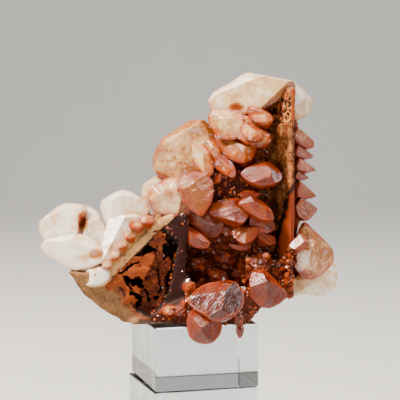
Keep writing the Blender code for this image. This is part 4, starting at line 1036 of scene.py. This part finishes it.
def display_block(name, turn, shift, bottom, finish):
    """A sawn block of clear acrylic with narrow polished edges."""
    bm = bmesh.new()
    bmesh.ops.create_cube(bm, size=1.0)
    bmesh.ops.transform(bm, matrix=Matrix.Diagonal((BLOCK_WIDTH, BLOCK_WIDTH, BLOCK_HEIGHT, 1.0)), verts=bm.verts)
    bmesh.ops.bevel(
        bm, geom=bm.edges[:], offset=0.55, offset_type="OFFSET", segments=3,
        profile=0.5, affect="EDGES", material=-1)
    bmesh.ops.rotate(bm, cent=(0, 0, 0), matrix=Matrix.Rotation(math.radians(turn), 3, "Z"), verts=bm.verts)
    bmesh.ops.translate(bm, vec=(shift, 0, bottom + BLOCK_HEIGHT / 2), verts=bm.verts)
    bmesh.ops.transform(bm, matrix=Matrix.Scale(MM, 4), verts=bm.verts)
    made = piece(name, bm)
    made.data.materials.append(finish)
    return made


# The studio

def backdrop():
    """A pale sheet of paper that is the floor and curves up behind the object."""
    bm = bmesh.new()
    start = [bm.verts.new((x, -1.2, 0.0)) for x in (-2.5, 2.5)]
    edge = bm.edges.new(start)
    run = [(-0.4, 0.0), (0.9, 0.0)]
    run += [(0.9 + 0.6 * math.sin(a), 0.6 - 0.6 * math.cos(a)) for a in [math.radians(9 * i) for i in range(1, 11)]]
    run.append((1.5, 2.6))
    for y, z in run:
        made = bmesh.ops.extrude_edge_only(bm, edges=[edge])["geom"]
        for item in made:
            if isinstance(item, bmesh.types.BMVert):
                item.co.y, item.co.z = y, z
        edge = [item for item in made if isinstance(item, bmesh.types.BMEdge)][0]
    bmesh.ops.recalc_face_normals(bm, faces=bm.faces)
    for face in bm.faces:
        face.smooth = True
    made = piece("backdrop", bm)
    paper, tree, shader = new_material("matt_paper")
    shader.inputs["Base Color"].default_value = linear("#C9C7C4")
    shader.inputs["Roughness"].default_value = 0.9
    made.data.materials.append(paper)
    return made


def lamp(name, place, power, width, height, colour="#FFFFFF", aim=(0.0, 0.0, 0.09)):
    light = bpy.data.lights.new(name, "AREA")
    light.shape = "RECTANGLE"
    light.energy = power
    light.size, light.size_y = width, height
    light.color = linear(colour)[:3]
    made = bpy.data.objects.new(name, light)
    bpy.context.scene.collection.objects.link(made)
    made.location = place
    made.rotation_euler = (Vector(aim) - Vector(place)).to_track_quat("-Z", "Y").to_euler()
    return made


def studio():
    world = bpy.data.worlds.new("studio")
    bpy.context.scene.world = world
    world.use_nodes = True
    world.node_tree.nodes["Background"].inputs["Color"].default_value = linear("#E9ECEF")
    world.node_tree.nodes["Background"].inputs["Strength"].default_value = 0.13
    lamp("key", (-0.38, -0.12, 0.62), 16.0, 0.12, 0.16, "#FFF4E8")
    lamp("top", (0.16, -0.10, 0.70), 3.5, 0.20, 0.16)
    lamp("right", (0.62, -0.10, 0.30), 3.0, 0.08, 0.4)
    lamp("front", (-0.46, -0.66, 0.06), 1.7, 0.3, 0.2)
    lamp("paper", (0.0, 0.55, 1.30), 11.0, 1.4, 0.3, aim=(0.0, 1.2, 0.35))


def camera():
    lens = bpy.data.cameras.new("camera")
    lens.sensor_width = 36.0
    lens.lens = SIGHT_FOCUS / 400 * 36.0
    made = bpy.data.objects.new("camera", lens)
    bpy.context.scene.collection.objects.link(made)
    made.location = EYE * MM
    made.rotation_euler = FORWARD.to_track_quat("-Z", "Y").to_euler()
    lens.clip_start = 0.01
    bpy.context.scene.camera = made


def settle(made, node):
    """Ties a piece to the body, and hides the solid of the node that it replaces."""
    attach(made, "root")
    if node:
        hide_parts(node)


def main():
    pale = calcite("cloudy_calcite", 0.3, (1.0, 0.72, 0.42), 0.10, 0.10, 0.12, 0.24)
    rusty = calcite("rust_stained_calcite", 0.15, (1.0, 0.4, 0.12), 0.06, 0.12, 0.75, 0.02)
    groups = [
        ("crown", CROWN, "crown_crystals", "pale_calcite", pale),
        ("shoulder", SHOULDER, "shoulder_crystals", "pale_calcite", pale),
        ("saddle", SADDLE, "saddle_crystals", "stained_calcite", rusty),
        ("blade_face", BLADE_FACE, "blade_face_crystal", "stained_calcite", rusty),
        ("blade_edge", BLADE_EDGE, "blade_edge_crystals", "stained_calcite", rusty),
        ("lower", LOWER, "lower_crystals", "red_calcite", rusty),
        ("lower_right", LOWER_RIGHT, "lower_right_crystal", "red_calcite", rusty),
        ("side", SIDE, "side_crystals", "pale_calcite", pale),
        ("left", LEFT, "left_crystals", "pale_calcite", pale),
        ("back", BACK, "back_crystals", "pale_calcite", pale),
        ("small", SMALL, None, "stained_calcite", rusty),
    ]
    for seed, (name, rows, node, slot, finish) in enumerate(groups):
        made = crystal_group(name, rows, seed + 5)
        made.data.materials.append(finish)
        settle(made, node)
    ground = rock()
    settle(ground, "matrix")
    lace = crust()
    settle(lace, "vug_crust")
    druse = fine_druse()
    beds = [
        ("rock_druse", ground, 0.75, 0.5, 1.5, 3), ("crust_druse", lace, 0.7, 0.4, 1.0, 9),
        ("hollow_druse", ground, 2.3, 1.7, 3.6, 15),
    ]
    for name, bed, spacing, least, most, seed in beds:
        seeds = [druse_seed(f"{name}_{i}", 20 * i, 0.5 + 0.08 * i, 0.05 + 0.16 * i) for i in range(5)]
        made = sow(name, bed, seeds, spacing, least, most, seed)
        made.data.materials.append(druse)
        settle(made, None)
    acrylic = cast_acrylic()
    lower = display_block("lower_block", LOWER_BLOCK_TURN, LOWER_BLOCK_SHIFT, 0.0, acrylic)
    settle(lower, "stand_block_lower")
    upper = display_block("upper_block", UPPER_BLOCK_TURN, 0.0, BLOCK_HEIGHT + BLOCK_GAP, acrylic)
    settle(upper, "stand_block_upper")
    backdrop()
    studio()
    camera()


main()
